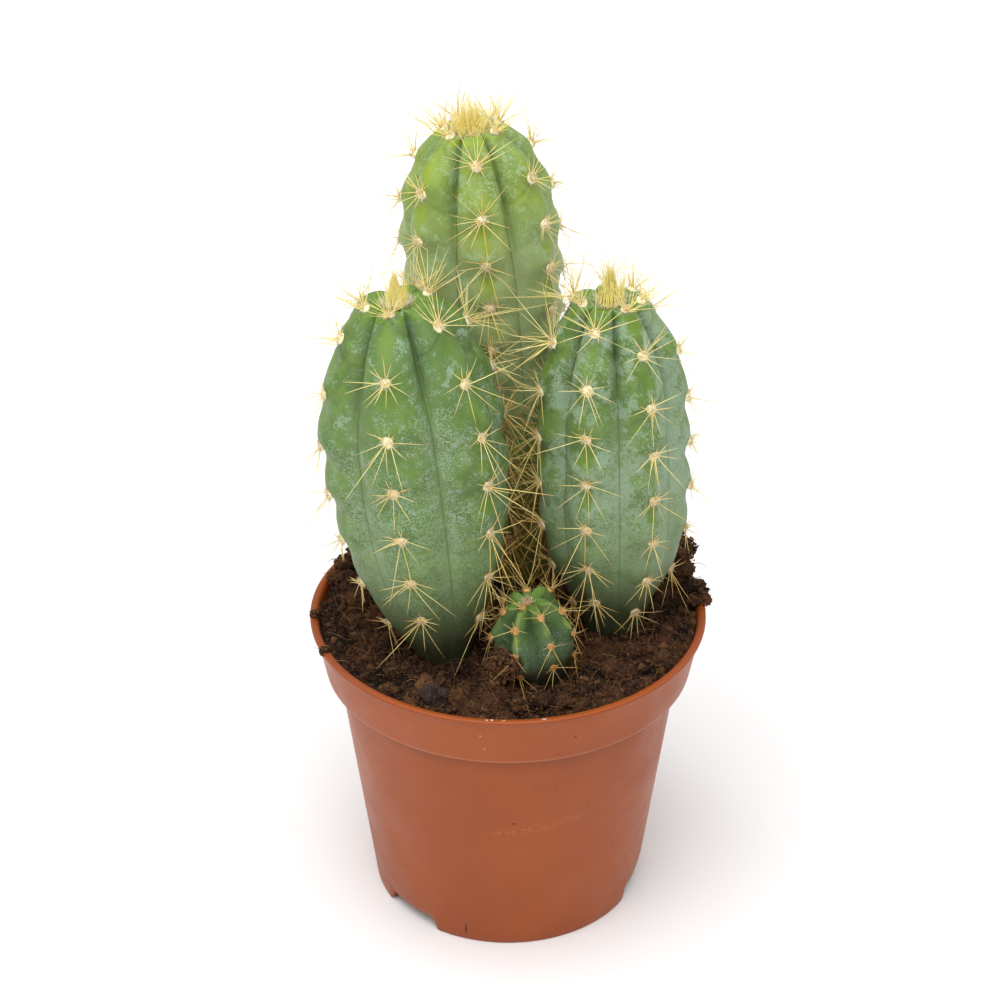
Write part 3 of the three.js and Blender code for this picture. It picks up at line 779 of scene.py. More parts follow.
class GeometryGraph(Graph):
    """A Geometry Nodes tree with named inputs, used through one modifier."""

    def __init__(self, name: str, inputs: dict[str, tuple[str, object]]) -> None:
        """Starts the tree.

        Args:
            name: The tree's name.
            inputs: Socket type and first value of each named input beside the material.
        """
        super().__init__(bpy.data.node_groups.new(name, "GeometryNodeTree"))
        sockets = self.tree.interface
        sockets.new_socket("Geometry", in_out="INPUT", socket_type="NodeSocketGeometry")
        sockets.new_socket("Geometry", in_out="OUTPUT", socket_type="NodeSocketGeometry")
        sockets.new_socket("Material", in_out="INPUT", socket_type="NodeSocketMaterial")
        for key, (kind, value) in inputs.items():
            sockets.new_socket(key, in_out="INPUT", socket_type=kind).default_value = value
        self.start = self.tree.nodes.new("NodeGroupInput")
        self.end = self.tree.nodes.new("NodeGroupOutput")

    def value(self, name: str) -> Socket:
        """The socket of a named input."""
        return self.start.outputs[name]

    def named(self, name: str, kind: str = "FLOAT") -> Socket:
        """A named attribute of the points."""
        return self.add("GeometryNodeInputNamedAttribute", {"Name": name}, data_type=kind).outputs[0]

    def along(self, geometry: Socket, value: object) -> Socket:
        """The geometry, with how far along a bristle each point is kept on it."""
        return self.add("GeometryNodeStoreNamedAttribute", {"Geometry": geometry, "Name": "along",
                        "Value": value}, data_type="FLOAT", domain="POINT").outputs[0]

    def scatter(self, instance: Socket) -> Tree:
        """Ends the tree: the instance on every point, aimed, rolled and sized by the point, made real.

        Args:
            instance: What is placed, one unit long along Z.

        Returns:
            The tree.
        """
        aimed = self.add("FunctionNodeAlignRotationToVector", {"Vector": self.named("aim", "FLOAT_VECTOR")},
                         axis="Z")
        roll = self.add("FunctionNodeAxisAngleToRotation", {"Axis": (0, 0, 1), "Angle": self.named("roll")})
        turned = self.add("FunctionNodeRotateRotation", {0: aimed.outputs[0], 1: roll.outputs[0]},
                          rotation_space="LOCAL")
        placed = self.add("GeometryNodeInstanceOnPoints", {
            "Points": self.value("Geometry"), "Instance": instance,
            "Rotation": turned.outputs[0], "Scale": self.named("size", "FLOAT_VECTOR")})
        real = self.add("GeometryNodeRealizeInstances", {0: placed.outputs[0]})
        smooth = self.add("GeometryNodeSetShadeSmooth", {0: real.outputs[0]})
        worn = self.add("GeometryNodeSetMaterial", {0: smooth.outputs[0], "Material": self.value("Material")})
        self.feed(self.end, {0: worn.outputs[0]})
        return self.tree


def bristle_tree() -> Tree:
    """A tapering, slightly bent bristle one unit long on every point.

    Returns:
        The tree.
    """
    graph = GeometryGraph("bristles", {
        "Sides": ("NodeSocketInt", 5), "Steps": ("NodeSocketInt", 4),
        "Bend": ("NodeSocketFloat", 0.05), "Tip": ("NodeSocketFloat", 0.15)})
    middle = graph.add("ShaderNodeCombineXYZ", {0: graph.value("Bend"), 2: 0.5}).outputs[0]
    line = graph.add("GeometryNodeCurveQuadraticBezier", {
        "Resolution": graph.value("Steps"), "Start": (0, 0, 0), "Middle": middle, "End": (0, 0, 1)})
    factor = graph.add("GeometryNodeSplineParameter").outputs["Factor"]
    taper = graph.math("POWER", factor, 1.7)
    girth = graph.times(graph.span(taper, 0.0, 1.0, 1.0, graph.value("Tip"), smooth=False), GIRTH)
    circle = graph.add("GeometryNodeCurvePrimitiveCircle", {
        "Resolution": graph.value("Sides"), "Radius": 1.0})
    tube = graph.add("GeometryNodeCurveToMesh", {
        "Curve": graph.along(line.outputs[0], factor), "Scale": girth,
        "Profile Curve": circle.outputs[0], "Fill Caps": True})
    return graph.scatter(tube.outputs[0])


def hair_tree() -> Tree:
    """A short straight hair one unit long on every point, with few faces.

    Returns:
        The tree.
    """
    graph = GeometryGraph("hairs", {"Tip": ("NodeSocketFloat", 0.3)})
    cone = graph.add("GeometryNodeMeshCone", {"Vertices": 3, "Side Segments": 1, "Radius Bottom": GIRTH,
                     "Radius Top": graph.times(graph.value("Tip"), GIRTH), "Depth": 1.0}, fill_type="NGON")
    place = graph.add("GeometryNodeInputPosition").outputs[0]
    high = graph.add("ShaderNodeSeparateXYZ", {0: place}).outputs[2]
    return graph.scatter(graph.along(cone.outputs["Mesh"], high))


def crumb_tree() -> Tree:
    """A lumpy crumb about two units across on every point.

    Returns:
        The tree.
    """
    graph = GeometryGraph("crumbs", {"Fineness": ("NodeSocketInt", 2), "Roughness": ("NodeSocketFloat", 0.9)})
    ball = graph.add("GeometryNodeMeshIcoSphere", {"Radius": 1.0, "Subdivisions": graph.value("Fineness")})
    place = graph.add("GeometryNodeInputPosition").outputs[0]
    noise = graph.add("ShaderNodeTexNoise", {"Vector": place, "Scale": 1.7, "Detail": 3.0}).outputs[0]
    lift = graph.times(graph.minus(noise, 0.5), graph.value("Roughness"))
    offset = graph.add("ShaderNodeVectorMath", {0: place, 3: lift}, operation="SCALE").outputs[0]
    moved = graph.add("GeometryNodeSetPosition", {"Geometry": ball.outputs[0], "Offset": offset}).outputs[0]
    return graph.scatter(graph.along(moved, 0.5))


@dataclass
class Scatter:
    """Points that a tree turns into bristles or crumbs."""

    root: np.ndarray
    aim: np.ndarray
    size: np.ndarray
    shade: np.ndarray

    @classmethod
    def of_hairs(cls, root: np.ndarray, aim: np.ndarray, radius: float | np.ndarray, length: np.ndarray,
                 shade: np.ndarray) -> "Scatter":
        """Points for round bristles or hairs."""
        thick = radius / GIRTH + np.zeros(len(length))
        return cls(root, aim, np.stack([thick, thick, length], axis=1), np.clip(shade, 0, 1))

    def kept(self, mask: np.ndarray) -> "Scatter":
        """Only the points that the mask keeps."""
        return Scatter(self.root[mask], self.aim[mask], self.size[mask], self.shade[mask])

    def build(self, name: str, tree: Tree, material: Material, slot: Slot, seed: int,
              **inputs: float) -> Piece:
        """Runs the tree on the points, keeps the plain mesh and dresses it.

        Args:
            name: The piece's name.
            tree: The Geometry Nodes tree.
            material: What the piece wears.
            slot: The record's slot; not used.
            seed: The seed of the rolls.
            inputs: Values of the tree's named inputs.

        Returns:
            The finished piece.
        """
        mesh = bpy.data.meshes.new(name + "_points")
        mesh.from_pydata((self.root * METRES).tolist(), [], [])
        rolls = np.random.default_rng(seed).uniform(0, 2 * math.pi, len(self.root))
        for key, data in (("aim", self.aim), ("size", self.size * METRES), ("roll", rolls),
                          ("shade", self.shade)):
            kind, field = ("FLOAT_VECTOR", "vector") if data.ndim == 2 else ("FLOAT", "value")
            layer = mesh.attributes.new(key, kind, "POINT")
            layer.data.foreach_set(field, np.asarray(data, np.float32).ravel())
        points = bpy.data.objects.new(name, mesh)
        bpy.context.scene.collection.objects.link(points)
        modifier = points.modifiers.new("scatter", "NODES")
        modifier.node_group = tree
        sockets = {item.name: item.identifier for item in tree.interface.items_tree if item.in_out == "INPUT"}
        for key, value in {"Material": material, **inputs}.items():
            modifier[sockets[key]] = value
        applied(points)
        bpy.data.meshes.remove(mesh)
        return dress(points, material)


@dataclass(frozen=True)
class Areole:
    """One spine cushion: its place, its directions and how far up the stem it is, from 0 to 1."""

    at: np.ndarray
    out: np.ndarray
    up: np.ndarray
    side: np.ndarray
    place: float


@dataclass(frozen=True)
class StemShape:
    """The ribbed body of one stem, after the same rule as the solid that it stands for."""

    name: str
    ribs: int
    first_rib: float
    pitch: float
    bow: float
    base: tuple
    crown: tuple
    profile: tuple
    first_areole: tuple
    tuft_core: float
    tuft_height: float
    tuft_reach: float
    scale: float = 1.0
    knobs: tuple = ()

    # Grooves, as shares of the radius: at the foot, and what they gain up to the crown.
    GROOVE_AT_BASE = 0.11
    GROOVE_GAIN = 0.21
    # The crest's bulge as a share of the radius, and how it swells and sags from areole to areole.
    CREST_BULGE = 0.055
    SWELL_FOOT = 0.55
    SWELL_GAIN = 0.45
    SWELL_PEAK = 0.14
    SWELL_FALL = 0.86
    NOTCH_START = 0.9
    NOTCH_SPAN = 0.1
    SAG_DEPTH = 0.9
    SAG_PLACE = 0.64
    SAG_SPREAD = 0.2
    SMOOTH_UP_TO = 0.12
    FADE_SPAN = 0.4
    # The rings that round the crown off, each its share of the radius and its rise.
    SHOULDER = ((0.93, 0.35), (0.82, 0.55), (0.7, 0.45), (0.58, 0.05), (0.45, -0.5), (0.3, -0.9),
                (0.12, -1.0))
    CROWN_REACH = 0.82
    SMALL_CROWN_REACH = 0.62
    CROWN_RISE = 0.45
    CROWN_GAP = 0.4
    LOWEST_AREOLE = 9
    LOWEST_SMALL_AREOLE = 5

    @property
    def small(self) -> bool:
        """Whether it is an offset."""
        return self.scale < 1

    @property
    def length(self) -> float:
        """The height of the crown along the axis."""
        return self.profile[-1][0]

    @property
    def up(self) -> np.ndarray:
        """The direction of the axis."""
        return unit(np.subtract(self.crown, self.base))

    @property
    def front(self) -> np.ndarray:
        """The direction across the axis that faces the front."""
        return unit(np.array([0.0, -1.0, 0.0]) + self.up * self.up[1])

    @property
    def side(self) -> np.ndarray:
        """The direction across the axis that faces +X."""
        return np.cross(self.up, self.front)

    def part(self, height: np.ndarray) -> np.ndarray:
        """How far up the stem a height is, from 0 to 1."""
        return np.clip(height / self.length, 0, 1)

    def bow_at(self, height: np.ndarray) -> np.ndarray:
        """How far the axis bows sideways at a height."""
        part = self.part(height)
        return self.bow * 4 * part * (1 - part)

    def depth(self, part: np.ndarray) -> np.ndarray:
        """How deep the grooves are, as a share of the radius."""
        return self.GROOVE_AT_BASE + self.GROOVE_GAIN * part ** 1.6

    def fall(self, away: np.ndarray, part: np.ndarray) -> np.ndarray:
        """How far down a groove's side a place is, from 0 on the crest to 1."""
        return away ** (1.5 + 0.7 * part)

    def crest(self, height: np.ndarray) -> np.ndarray:
        """The radius over the crests, smooth through the profile.

        Args:
            height: Heights along the axis.

        Returns:
            The radius at each.
        """
        places, radii = np.array(self.profile, float).T
        last = len(places) - 1
        low = np.maximum(np.arange(last + 1) - 1, 0)
        high = np.minimum(np.arange(last + 1) + 1, last)
        slopes = (radii[high] - radii[low]) / (places[high] - places[low])
        held = np.clip(height, places[0], places[-1])
        i = np.clip(np.searchsorted(places, held, side="left") - 1, 0, last - 1)
        width = places[i + 1] - places[i]
        t = (held - places[i]) / width
        start = (2 * t ** 3 - 3 * t ** 2 + 1) * radii[i] + (t ** 3 - 2 * t ** 2 + t) * width * slopes[i]
        end = (3 * t ** 2 - 2 * t ** 3) * radii[i + 1] + (t ** 3 - t ** 2) * width * slopes[i + 1]
        return start + end

    def rib_place(self, angle: np.ndarray) -> tuple[np.ndarray, np.ndarray]:
        """The nearest rib at an angle.

        Args:
            angle: Angles round the axis.

        Returns:
            The rib's number, and 0 on its crest to 1 in the groove.
        """
        turn = (angle - self.first_rib) / (360 / self.ribs)
        nearest = np.round(turn)
        return (nearest % self.ribs).astype(int), np.minimum(np.abs(turn - nearest) * 2, 1)

    def step_part(self, height: np.ndarray, rib: np.ndarray) -> np.ndarray:
        """How far a height is from the areole below it to the next, from 0 to 1."""
        steps = (height - np.array(self.first_areole)[rib]) / self.pitch
        return steps - np.floor(steps)

    def swell(self, height: np.ndarray, rib: np.ndarray) -> np.ndarray:
        """The crest's swell above each areole, and its sag before it rises to the next.

        Args:
            height: Heights along the axis.
            rib: The number of the rib at each.

        Returns:
            The swell at each, 1 at its peak.
        """
        part = self.step_part(height, rib)
        wave = np.where(part < self.SWELL_PEAK, self.SWELL_FOOT + self.SWELL_GAIN * part / self.SWELL_PEAK,
                        1 - (part - self.SWELL_PEAK) / self.SWELL_FALL)
        sag = self.SAG_DEPTH * np.exp(-((part - self.SAG_PLACE) / self.SAG_SPREAD) ** 2)
        rise = (part - self.NOTCH_START) / self.NOTCH_SPAN * self.SWELL_FOOT
        return wave + np.where(part > self.NOTCH_START, rise, 0) - sag

    def radius(self, height: np.ndarray, angle: np.ndarray) -> np.ndarray:
        """The distance of the skin from the axis, as on the solid.

        Args:
            height: Heights along the axis.
            angle: Angles round it.

        Returns:
            The radius at each.
        """
        rib, away = self.rib_place(angle)
        part = self.part(height)
        fade = np.clip((part - self.SMOOTH_UP_TO) / self.FADE_SPAN, 0, 1)
        bulge = self.CREST_BULGE * (self.swell(height, rib) - 0.5) * (1 - away) ** 1.3 * fade
        return self.crest(height) * (1 - self.depth(part) * self.fall(away, part) + bulge)

    def point(self, height: np.ndarray, angle: np.ndarray, radius: np.ndarray) -> np.ndarray:
        """Places round the axis.

        Args:
            height: Heights along the axis.
            angle: Angles round it.
            radius: Distances from it.

        Returns:
            One row for each.
        """
        a = np.radians(angle)
        return (np.array(self.base, float)
                + np.asarray(height)[..., None] * self.up
                + (self.bow_at(height) + radius * np.sin(a))[..., None] * self.side
                + (radius * np.cos(a))[..., None] * self.front)

    def at_top(self, angle: float, radius: float) -> np.ndarray:
        """The place at the crown's height, an angle and a radius."""
        return self.point(np.array([self.length]), np.array([angle]), np.array([radius]))[0]

    def raised(self, points: np.ndarray) -> np.ndarray:
        """Raises the knobs of the crown, each an angle, a radius, a rise and a spread.

        Args:
            points: Places on the skin, one row each or one alone.

        Returns:
            The same places, moved up along the axis.
        """
        height = (points - np.array(self.base, float)) @ self.up
        lift = np.zeros_like(height)
        for angle, out, rise, spread in self.knobs:
            away = points - self.at_top(angle, out)
            flat = (away ** 2).sum(axis=-1) - (away @ self.up) ** 2
            lift = lift + rise * np.exp(-flat / (2 * spread ** 2))
        high = ease(0.4 * self.length, 0.8 * self.length, height)
        return points + (lift * high)[..., None] * self.up

    def inside(self, points: np.ndarray, margin: float) -> np.ndarray:
        """Which points are in the stem, its knobs or its tuft, or nearer than a margin.

        Args:
            points: Places, one row each.
            margin: The least distance.

        Returns:
            True for each point that is too near.
        """
        local = points - np.array(self.base, float)
        height = local @ self.up
        across = local @ self.side - self.bow_at(height)
        ahead = local @ self.front
        skin = self.radius(height, np.degrees(np.arctan2(across, ahead)))
        reach = np.where(height > self.length, self.tuft_core + 1.0, skin)
        low = self.profile[0][0] - margin
        high = self.length + 0.7 * self.tuft_reach + margin
        within = (height > low) & (height < high) & (np.hypot(across, ahead) < reach + margin)
        for angle, out, rise, spread in self.knobs:
            away = np.linalg.norm(points - self.at_top(angle, out), axis=1)
            within |= away < max(rise, spread) + margin
        return within

    def crown_areole(self, angle: float) -> Areole:
        """The youngest cushion of a rib, on the shoulder of the crown.

        Args:
            angle: The rib's angle.

        Returns:
            The cushion.
        """
        top, turn = np.array([self.length]), np.array([angle])
        reach = (self.SMALL_CROWN_REACH if self.small else self.CROWN_REACH) * self.radius(top, turn)
        at = self.point(top + self.CROWN_RISE * self.scale, turn, reach)[0]
        a = math.radians(angle)
        radial = self.side * math.sin(a) + self.front * math.cos(a)
        out = unit(0.75 * self.up + 0.65 * radial)
        up = unit(0.65 * self.up - 0.75 * radial)
        return Areole(self.raised(at), out, up, unit(np.cross(up, out)), 1.0)

    def areole(self, height: float, angle: float) -> Areole:
        """The cushion at a height on a rib.

        Args:
            height: Its height along the axis.
            angle: The rib's angle.

        Returns:
            The cushion.
        """
        h, turn = np.array([height], float), np.array([angle], float)
        at = self.point(h, turn, self.radius(h, turn))[0]
        held = np.array([height - 2.0, height + 2.0])
        low, high = self.point(held, np.full(2, angle), self.crest(held))
        up = unit(high - low)
        a = math.radians(angle)
        side = unit(self.side * math.cos(a) - self.front * math.sin(a))
        return Areole(self.raised(at), unit(np.cross(side, up)), up, side, height / self.length)

    def areoles(self) -> list[Areole]:
        """Places the spine cushions of every rib, from the crown down.

        Returns:
            The cushions.
        """
        found = []
        lowest = self.LOWEST_SMALL_AREOLE if self.small else self.LOWEST_AREOLE
        for rib, first in enumerate(self.first_areole):
            angle = self.first_rib + 360 * rib / self.ribs
            steps = np.maximum(np.ceil((self.length - 1 - first) / self.pitch) - 1, 0)
            height = float(first + self.pitch * steps)
            if self.length - height > self.CROWN_GAP * self.pitch:
                found.append(self.crown_areole(angle))
            while height > lowest:
                found.append(self.areole(height, angle))
                height -= self.pitch
        return found


@dataclass
class Stem:
    """One stem's skin, cushions, spines and crown tuft."""

    shape: StemShape
    slot: Slot
    # Points round the skin, the height of a row of faces and the seed of the draws.
    around: int
    row: float
    seed: int
    # Radial spines of an old cushion, and how much longer the lowest ones grow.
    crowd: int = 9
    shaded: float = 0.0
    # How much browner the spines and wool are, and how much more bloom the skin has.
    browned: float = 0.0
    coat: float = 0.0

    SPINE_RADIUS = 0.14
    FUZZ_RADIUS = 0.06
    BRUSH_RADIUS = 0.15
    STRAND_RADIUS = 0.1
    # A side spine's length, what one that points down gains, and what one at the crown gains.
    SPINE_LENGTH = 7.8
    DROOP = 3.3
    YOUNG_GAIN = 3.4
    SHORTEST_SPINE = 1.4
    # How often a spine is tried before it is dropped, and the share that it is cut to each time.
    TRIMS = 7
    TRIM = 0.82
    # The middle of the clump, where the stems shade each other and grow more spines, drawn browner, partly as
    # painted shade.
    CLUMP_MIDDLE = (0.0, 6.0, 0.0)
    FAN_FROM = 5.0
    TUFT_CLUMPS = 22

    def __post_init__(self) -> None:
        """Starts the stem's own draws and noise."""
        self.draw = np.random.default_rng(self.seed)
        self.noise = LumpNoise(self.seed)

    def relief(self, height: np.ndarray, angle: np.ndarray) -> tuple[np.ndarray, np.ndarray]:
        """The skin's finished radius, with shaped grooves, creases at the crown and small dents.

        Args:
            height: Heights along the axis.
            angle: Angles round it.

        Returns:
            The radius, and how deep in a crease each place is.
        """
        shape = self.shape
        rib, away = shape.rib_place(angle)
        part, crest = shape.part(height), shape.crest(height)
        radius = shape.radius(height, angle)
        crown = ease(0.72, 0.95, part)
        if shape.small:
            radius -= crest * 0.32 * ease(0.2, 0.8, part) * away ** 1.4
        else:
            valley = shape.depth(part) * (shape.fall(away, part) - away ** 3.4)
            radius += crest * ease(0.45, 0.92, part) * (0.75 * valley + 0.03 * away ** 2.2)
            radius -= crest * 0.2 * ease(0.7, 0.96, part) * away ** 7
            radius += crest * 0.03 * (1 - crown) * away ** 7
        fold = (shape.step_part(height, rib) - (0.93 - 0.42 * away)) * shape.pitch
        crease = (np.exp(-(fold / 0.55) ** 2) * (0.25 + 0.75 * crown)
                  * ease(0.3, 0.6, part) * ease(0.0, 0.12, away))
        radius -= 0.45 * shape.scale * crease
        dents = self.noise.fractal(shape.point(height, angle, radius), 14 * shape.scale, 3)
        return radius + 0.28 * shape.scale * dents, crease

    def marks(self, height: np.ndarray, angle: np.ndarray, crease: np.ndarray) -> dict[str, np.ndarray]:
        """The numbers that the finish reads, for the skin's rings, the crown's rings and the two end points.

        Args:
            height: Heights along the axis.
            angle: Angles round it.
            crease: How deep in a crease each place is.

        Returns:
            How near the crest, how high, young, bare, creased, coated and outward each point is.
        """
        shape = self.shape
        rib, away = shape.rib_place(angle)
        part = shape.part(height)
        young = (height - shape.length) / shape.scale + 0.2 + 1.4 * away
        below = (1 - shape.step_part(height, rib)) * shape.pitch
        oval = (below - 6.0 * shape.scale) / (4.4 * shape.scale)
        wide = away * (math.pi * shape.crest(height) / shape.ribs) / (2.6 * shape.scale)
        bare = ease(0.2, 0.6, part) * 1.2 - 0.2 - np.sqrt(oval ** 2 + wide ** 2)
        outer = ease(0.35, 0.9, np.sin(np.radians(angle)) * np.sign(shape.base[0])) * ease(0.25, 0.5, part)
        crown_young = np.repeat([5 * (0.86 - share) for share, _ in shape.SHOULDER], self.around)
        crown_young = np.concatenate([crown_young, [3, 3]])
        fills = {"crest": (1 - away, 0.5), "height": (part, 1.0), "young": (young, crown_young),
                 "bare": (bare, -1.0), "crease": (crease, 0.0),
                 "coat": (np.full(len(part), self.coat), self.coat), "outer": (outer, 0.0)}
        return {key: np.concatenate([data, np.full(len(crown_young), fill)])
                for key, (data, fill) in fills.items()}

    def skin(self) -> Piece:
        """Makes the ribbed skin as one closed body.

        Returns:
            The skin, with the numbers that its finish reads.
        """
        shape = self.shape
        low = shape.profile[0][0]
        rows = int((shape.length - low) / self.row)
        heights = np.linspace(low, shape.length, rows)
        angles = shape.first_rib + np.arange(self.around) * 360 / self.around
        height, angle = (a.ravel() for a in np.meshgrid(heights, angles, indexing="ij"))
        radius, crease = self.relief(height, angle)
        top, top_radius = np.full(self.around, shape.length), radius[-self.around:]
        caps = []
        for share, lift in shape.SHOULDER:
            smooth = ease(0.66, 0.34, np.array(share))
            round_radius = shape.profile[-1][1] * share
            mixed = top_radius * share * (1 - smooth) + round_radius * smooth * 0.92
            caps.append(shape.point(top + lift * shape.scale, angles, mixed))
        axis = np.array(0.0)
        ends = [shape.point(np.array(z), axis, axis) for z in (low, shape.length - shape.scale)]
        every = shape.raised(np.concatenate([shape.point(height, angle, radius), *caps, ends]))
        faces = closed_faces(rows + len(caps), self.around)
        return plain_mesh(f"stem_{shape.name}_flesh", every, faces, self.marks(height, angle, crease))

    def fan(self, areole: Areole) -> list[tuple]:
        """Draws the spines of one cushion.

        Args:
            areole: The cushion.

        Returns:
            The root, aim, length, girth and shade of each, as nine numbers.
        """
        shape, draw = self.shape, self.draw
        fresh = float(ease(0.8, 0.95, np.array(areole.place)))
        top = float(areole.place == 1)
        middle = unit(np.array(self.CLUMP_MIDDLE) - areole.at * np.array([1.0, 1.0, 0.0]))
        shade_side = max(float(areole.out @ middle), 0) * (1 - areole.place) ** 0.5
        inner = 0 if shape.small else int(round(14 * shade_side))
        radial = 6 if shape.small else int(round(self.crowd + 3 * fresh + 2 * top)) + inner
        sign = np.sign(shape.base[0]) if abs(shape.base[0]) > 10 else np.sign(areole.out[0])
        room = (1 - 0.3 * areole.out[0] * sign) * (1 + self.shaded * (1 - areole.place))
        turn = draw.uniform(0, 360)
        rows = []
        for k in range(radial + (1 if shape.small else 2)):
            central = k >= radial
            round_angle = math.radians(turn + 360 * (k + draw.uniform(-0.32, 0.32)) / radial)
            toward_up = math.sin(round_angle)
            lift = draw.uniform(0.9, 1.8) if central else draw.uniform(0.16, 0.6)
            lean = areole.up * (toward_up + fresh * 0.5) + areole.side * math.cos(round_angle)
            aim = unit(areole.out * (lift + 0.3 * fresh + 0.4 * top) + lean)
            length = (self.SPINE_LENGTH - self.DROOP * toward_up * (1 - fresh)) * draw.uniform(0.65, 1.25)
            length += self.YOUNG_GAIN * fresh * draw.uniform(0.3, 1.2)
            if central or draw.uniform() < (0.35 if toward_up < 0 else 0.15):
                length *= draw.uniform(1.2, 1.8)
            length *= 1 + 0.03 * inner
            length *= 1 - 0.4 * toward_up if shape.small else 1
            spot = areole.side * draw.uniform(-0.8, 0.8) + areole.up * draw.uniform(-0.8, 0.8)
            root = areole.at + (areole.out * 0.3 + spot * 0.8) * shape.scale
            # Cushions that face the clump's middle get browner spines, partly painted shade.
            shade = draw.normal(0.68 - 0.6 * areole.place + self.browned + 0.04 * inner, 0.18)
            rows.append((*root, *aim, length * room * (0.8 if shape.small else 1), draw.uniform(0.75, 1.15),
                         shade))
        return rows

    def spines(self, soil: "Soil", others: list[StemShape]) -> Scatter:
        """Fans of straight spines round each cushion, kept clear of what stands near.

        Args:
            soil: The soil, whose surface spines stay above.
            others: The other stems.

        Returns:
            The spines.
        """
        small = self.shape.small
        table = np.array([row for areole in self.shape.areoles() for row in self.fan(areole)])
        root, aim, length, girth, shade = table[:, :3], table[:, 3:6], table[:, 6], table[:, 7], table[:, 8]
        for _ in range(self.TRIMS):
            blocked = self.blocked(root, aim, length, soil, others)
            length = np.where(blocked, length * self.TRIM, length)
        thick = self.SPINE_RADIUS / GIRTH * girth * (0.75 if small else 1)
        size = np.stack([thick, thick, length], axis=1)
        free = ~blocked & (length > self.SHORTEST_SPINE * self.shape.scale)
        return Scatter(root, aim, size, np.clip(shade, 0, 1)).kept(free)

    @staticmethod
    def blocked(root: np.ndarray, aim: np.ndarray, length: np.ndarray, soil: "Soil",
                others: list[StemShape]) -> np.ndarray:
        """Which spines meet another stem, the soil, the rim or the side of the object's box.

        Args:
            root: The spines' roots.
            aim: Their directions.
            length: Their lengths.
            soil: The soil.
            others: The other stems.

        Returns:
            True for each spine that meets something.
        """
        hit = np.zeros(len(root), bool)
        for share in (0.35, 0.6, 0.8, 0.92, 1.0):
            point = root + aim * (length * share)[:, None]
            hit |= np.abs(point[:, :2]).max(axis=1) > SIDE_LIMIT
            hit |= soil.near(point, 0.4)
            for other in others:
                hit |= other.inside(point, 0.5)
        return hit

    def wool(self) -> tuple[Scatter, Scatter]:
        """The woolly cushions, as low domes and as the fuzz that covers them.

        Returns:
            The domes and the fuzz.
        """
        shape, draw = self.shape, self.draw
        areoles = shape.areoles()
        at, out, side, up, place = (np.array([getattr(areole, key) for areole in areoles])
                                    for key in ("at", "out", "side", "up", "place"))
        wide = draw.uniform(1.5, 1.9, len(at)) * shape.scale ** 0.6 * (0.88 + 0.34 * place)
        size = np.stack([wide * 0.8, wide * 0.9, wide * 0.5], axis=1)
        age = np.clip(0.62 - 0.8 * place + draw.uniform(-0.12, 0.12, len(at)) + self.browned, 0, 1)
        domes = Scatter(at - out * 0.1, out, size, age)
        owner = np.repeat(np.arange(len(at)), 90 if shape.small else 120)
        count = len(owner)
        round_angle = draw.uniform(0, 2 * math.pi, count)
        slope = np.sqrt(draw.uniform(0, 1, count))
        around = side[owner] * np.cos(round_angle)[:, None] + up[owner] * np.sin(round_angle)[:, None]
        lift = np.sqrt(1 - slope ** 2)[:, None] * out[owner]
        root = at[owner] + wide[owner, None] * (around * slope[:, None] * 0.84 + lift * 0.4)
        aim = unit(around * slope[:, None] * 1.2 + lift + draw.normal(0, 0.4, (count, 3)))
        length = draw.uniform(0.4, 1.25, count) * shape.scale ** 0.6
        shade = age[owner] + draw.uniform(-0.4, 0.15, count)
        return domes, Scatter.of_hairs(root, aim, self.FUZZ_RADIUS, length, shade)

    def tuft(self) -> Scatter:
        """The golden flame in the hollow of the crown: clumped bristles and a few long strands.

        Returns:
            The bristles.
        """
        shape, draw = self.shape, self.draw
        fan = shape.tuft_core > self.FAN_FROM
        count = 150 if shape.small else int((24 if fan else 34) * (shape.tuft_core + 10))
        out = draw.uniform(0, 1, count) ** 0.62
        angle = draw.uniform(0, 360, count)
        foot = shape.length - 0.6 * shape.scale
        root = shape.point(np.full(count, foot), angle, shape.tuft_core * out)
        strand = draw.uniform(0, 1, count) < 0.12 + 0.05 * (shape.tuft_core - 3)
        dense = shape.tuft_height * (1 - 0.6 * out ** 1.5) * draw.uniform(0.66, 1.12, count)
        if fan:
            strand |= draw.uniform(0, 1, count) < 0.3
            dense = dense * draw.uniform(0.55, 1.65, count) * (1 - 0.3 * out)
        long = shape.tuft_reach * draw.uniform(0.6, 1.08, count) * (1 - 0.35 * out)
        wide, twist = (1.15, 60) if fan else (1.0, 16)
        spread = wide * np.where(strand, draw.uniform(0.9, 1.7, count), draw.uniform(0.5, 0.95, count))
        tip = shape.point(foot + np.where(strand, long, dense), angle + draw.uniform(-twist, twist, count),
                          shape.tuft_core * out * spread)
        clump = draw.integers(0, self.TUFT_CLUMPS, count)
        heart = np.array([np.median(tip[clump == k], axis=0) if np.any(clump == k) else tip[0]
                          for k in range(self.TUFT_CLUMPS)])
        near = np.linalg.norm(tip[:, None, :2] - heart[None, :, :2], axis=2).argmin(axis=1)
        pull = np.where(strand, 0.0, 0.45)[:, None] * np.array([1.0, 1.0, 0.0])
        line = tip + (heart[near] - tip) * pull - root
        thick = np.where(strand, self.STRAND_RADIUS, self.BRUSH_RADIUS) / GIRTH * (0.7 if shape.small else 1)
        size = np.stack([thick, thick, np.linalg.norm(line, axis=1)], axis=1)
        shade = draw.uniform(0.0, 0.45, count)
        shade = shade + 0.4 * draw.uniform(0, 1, self.TUFT_CLUMPS)[near] * (near % 3 == 0)
        return Scatter(root, unit(line), size, np.clip(shade, 0, 1))

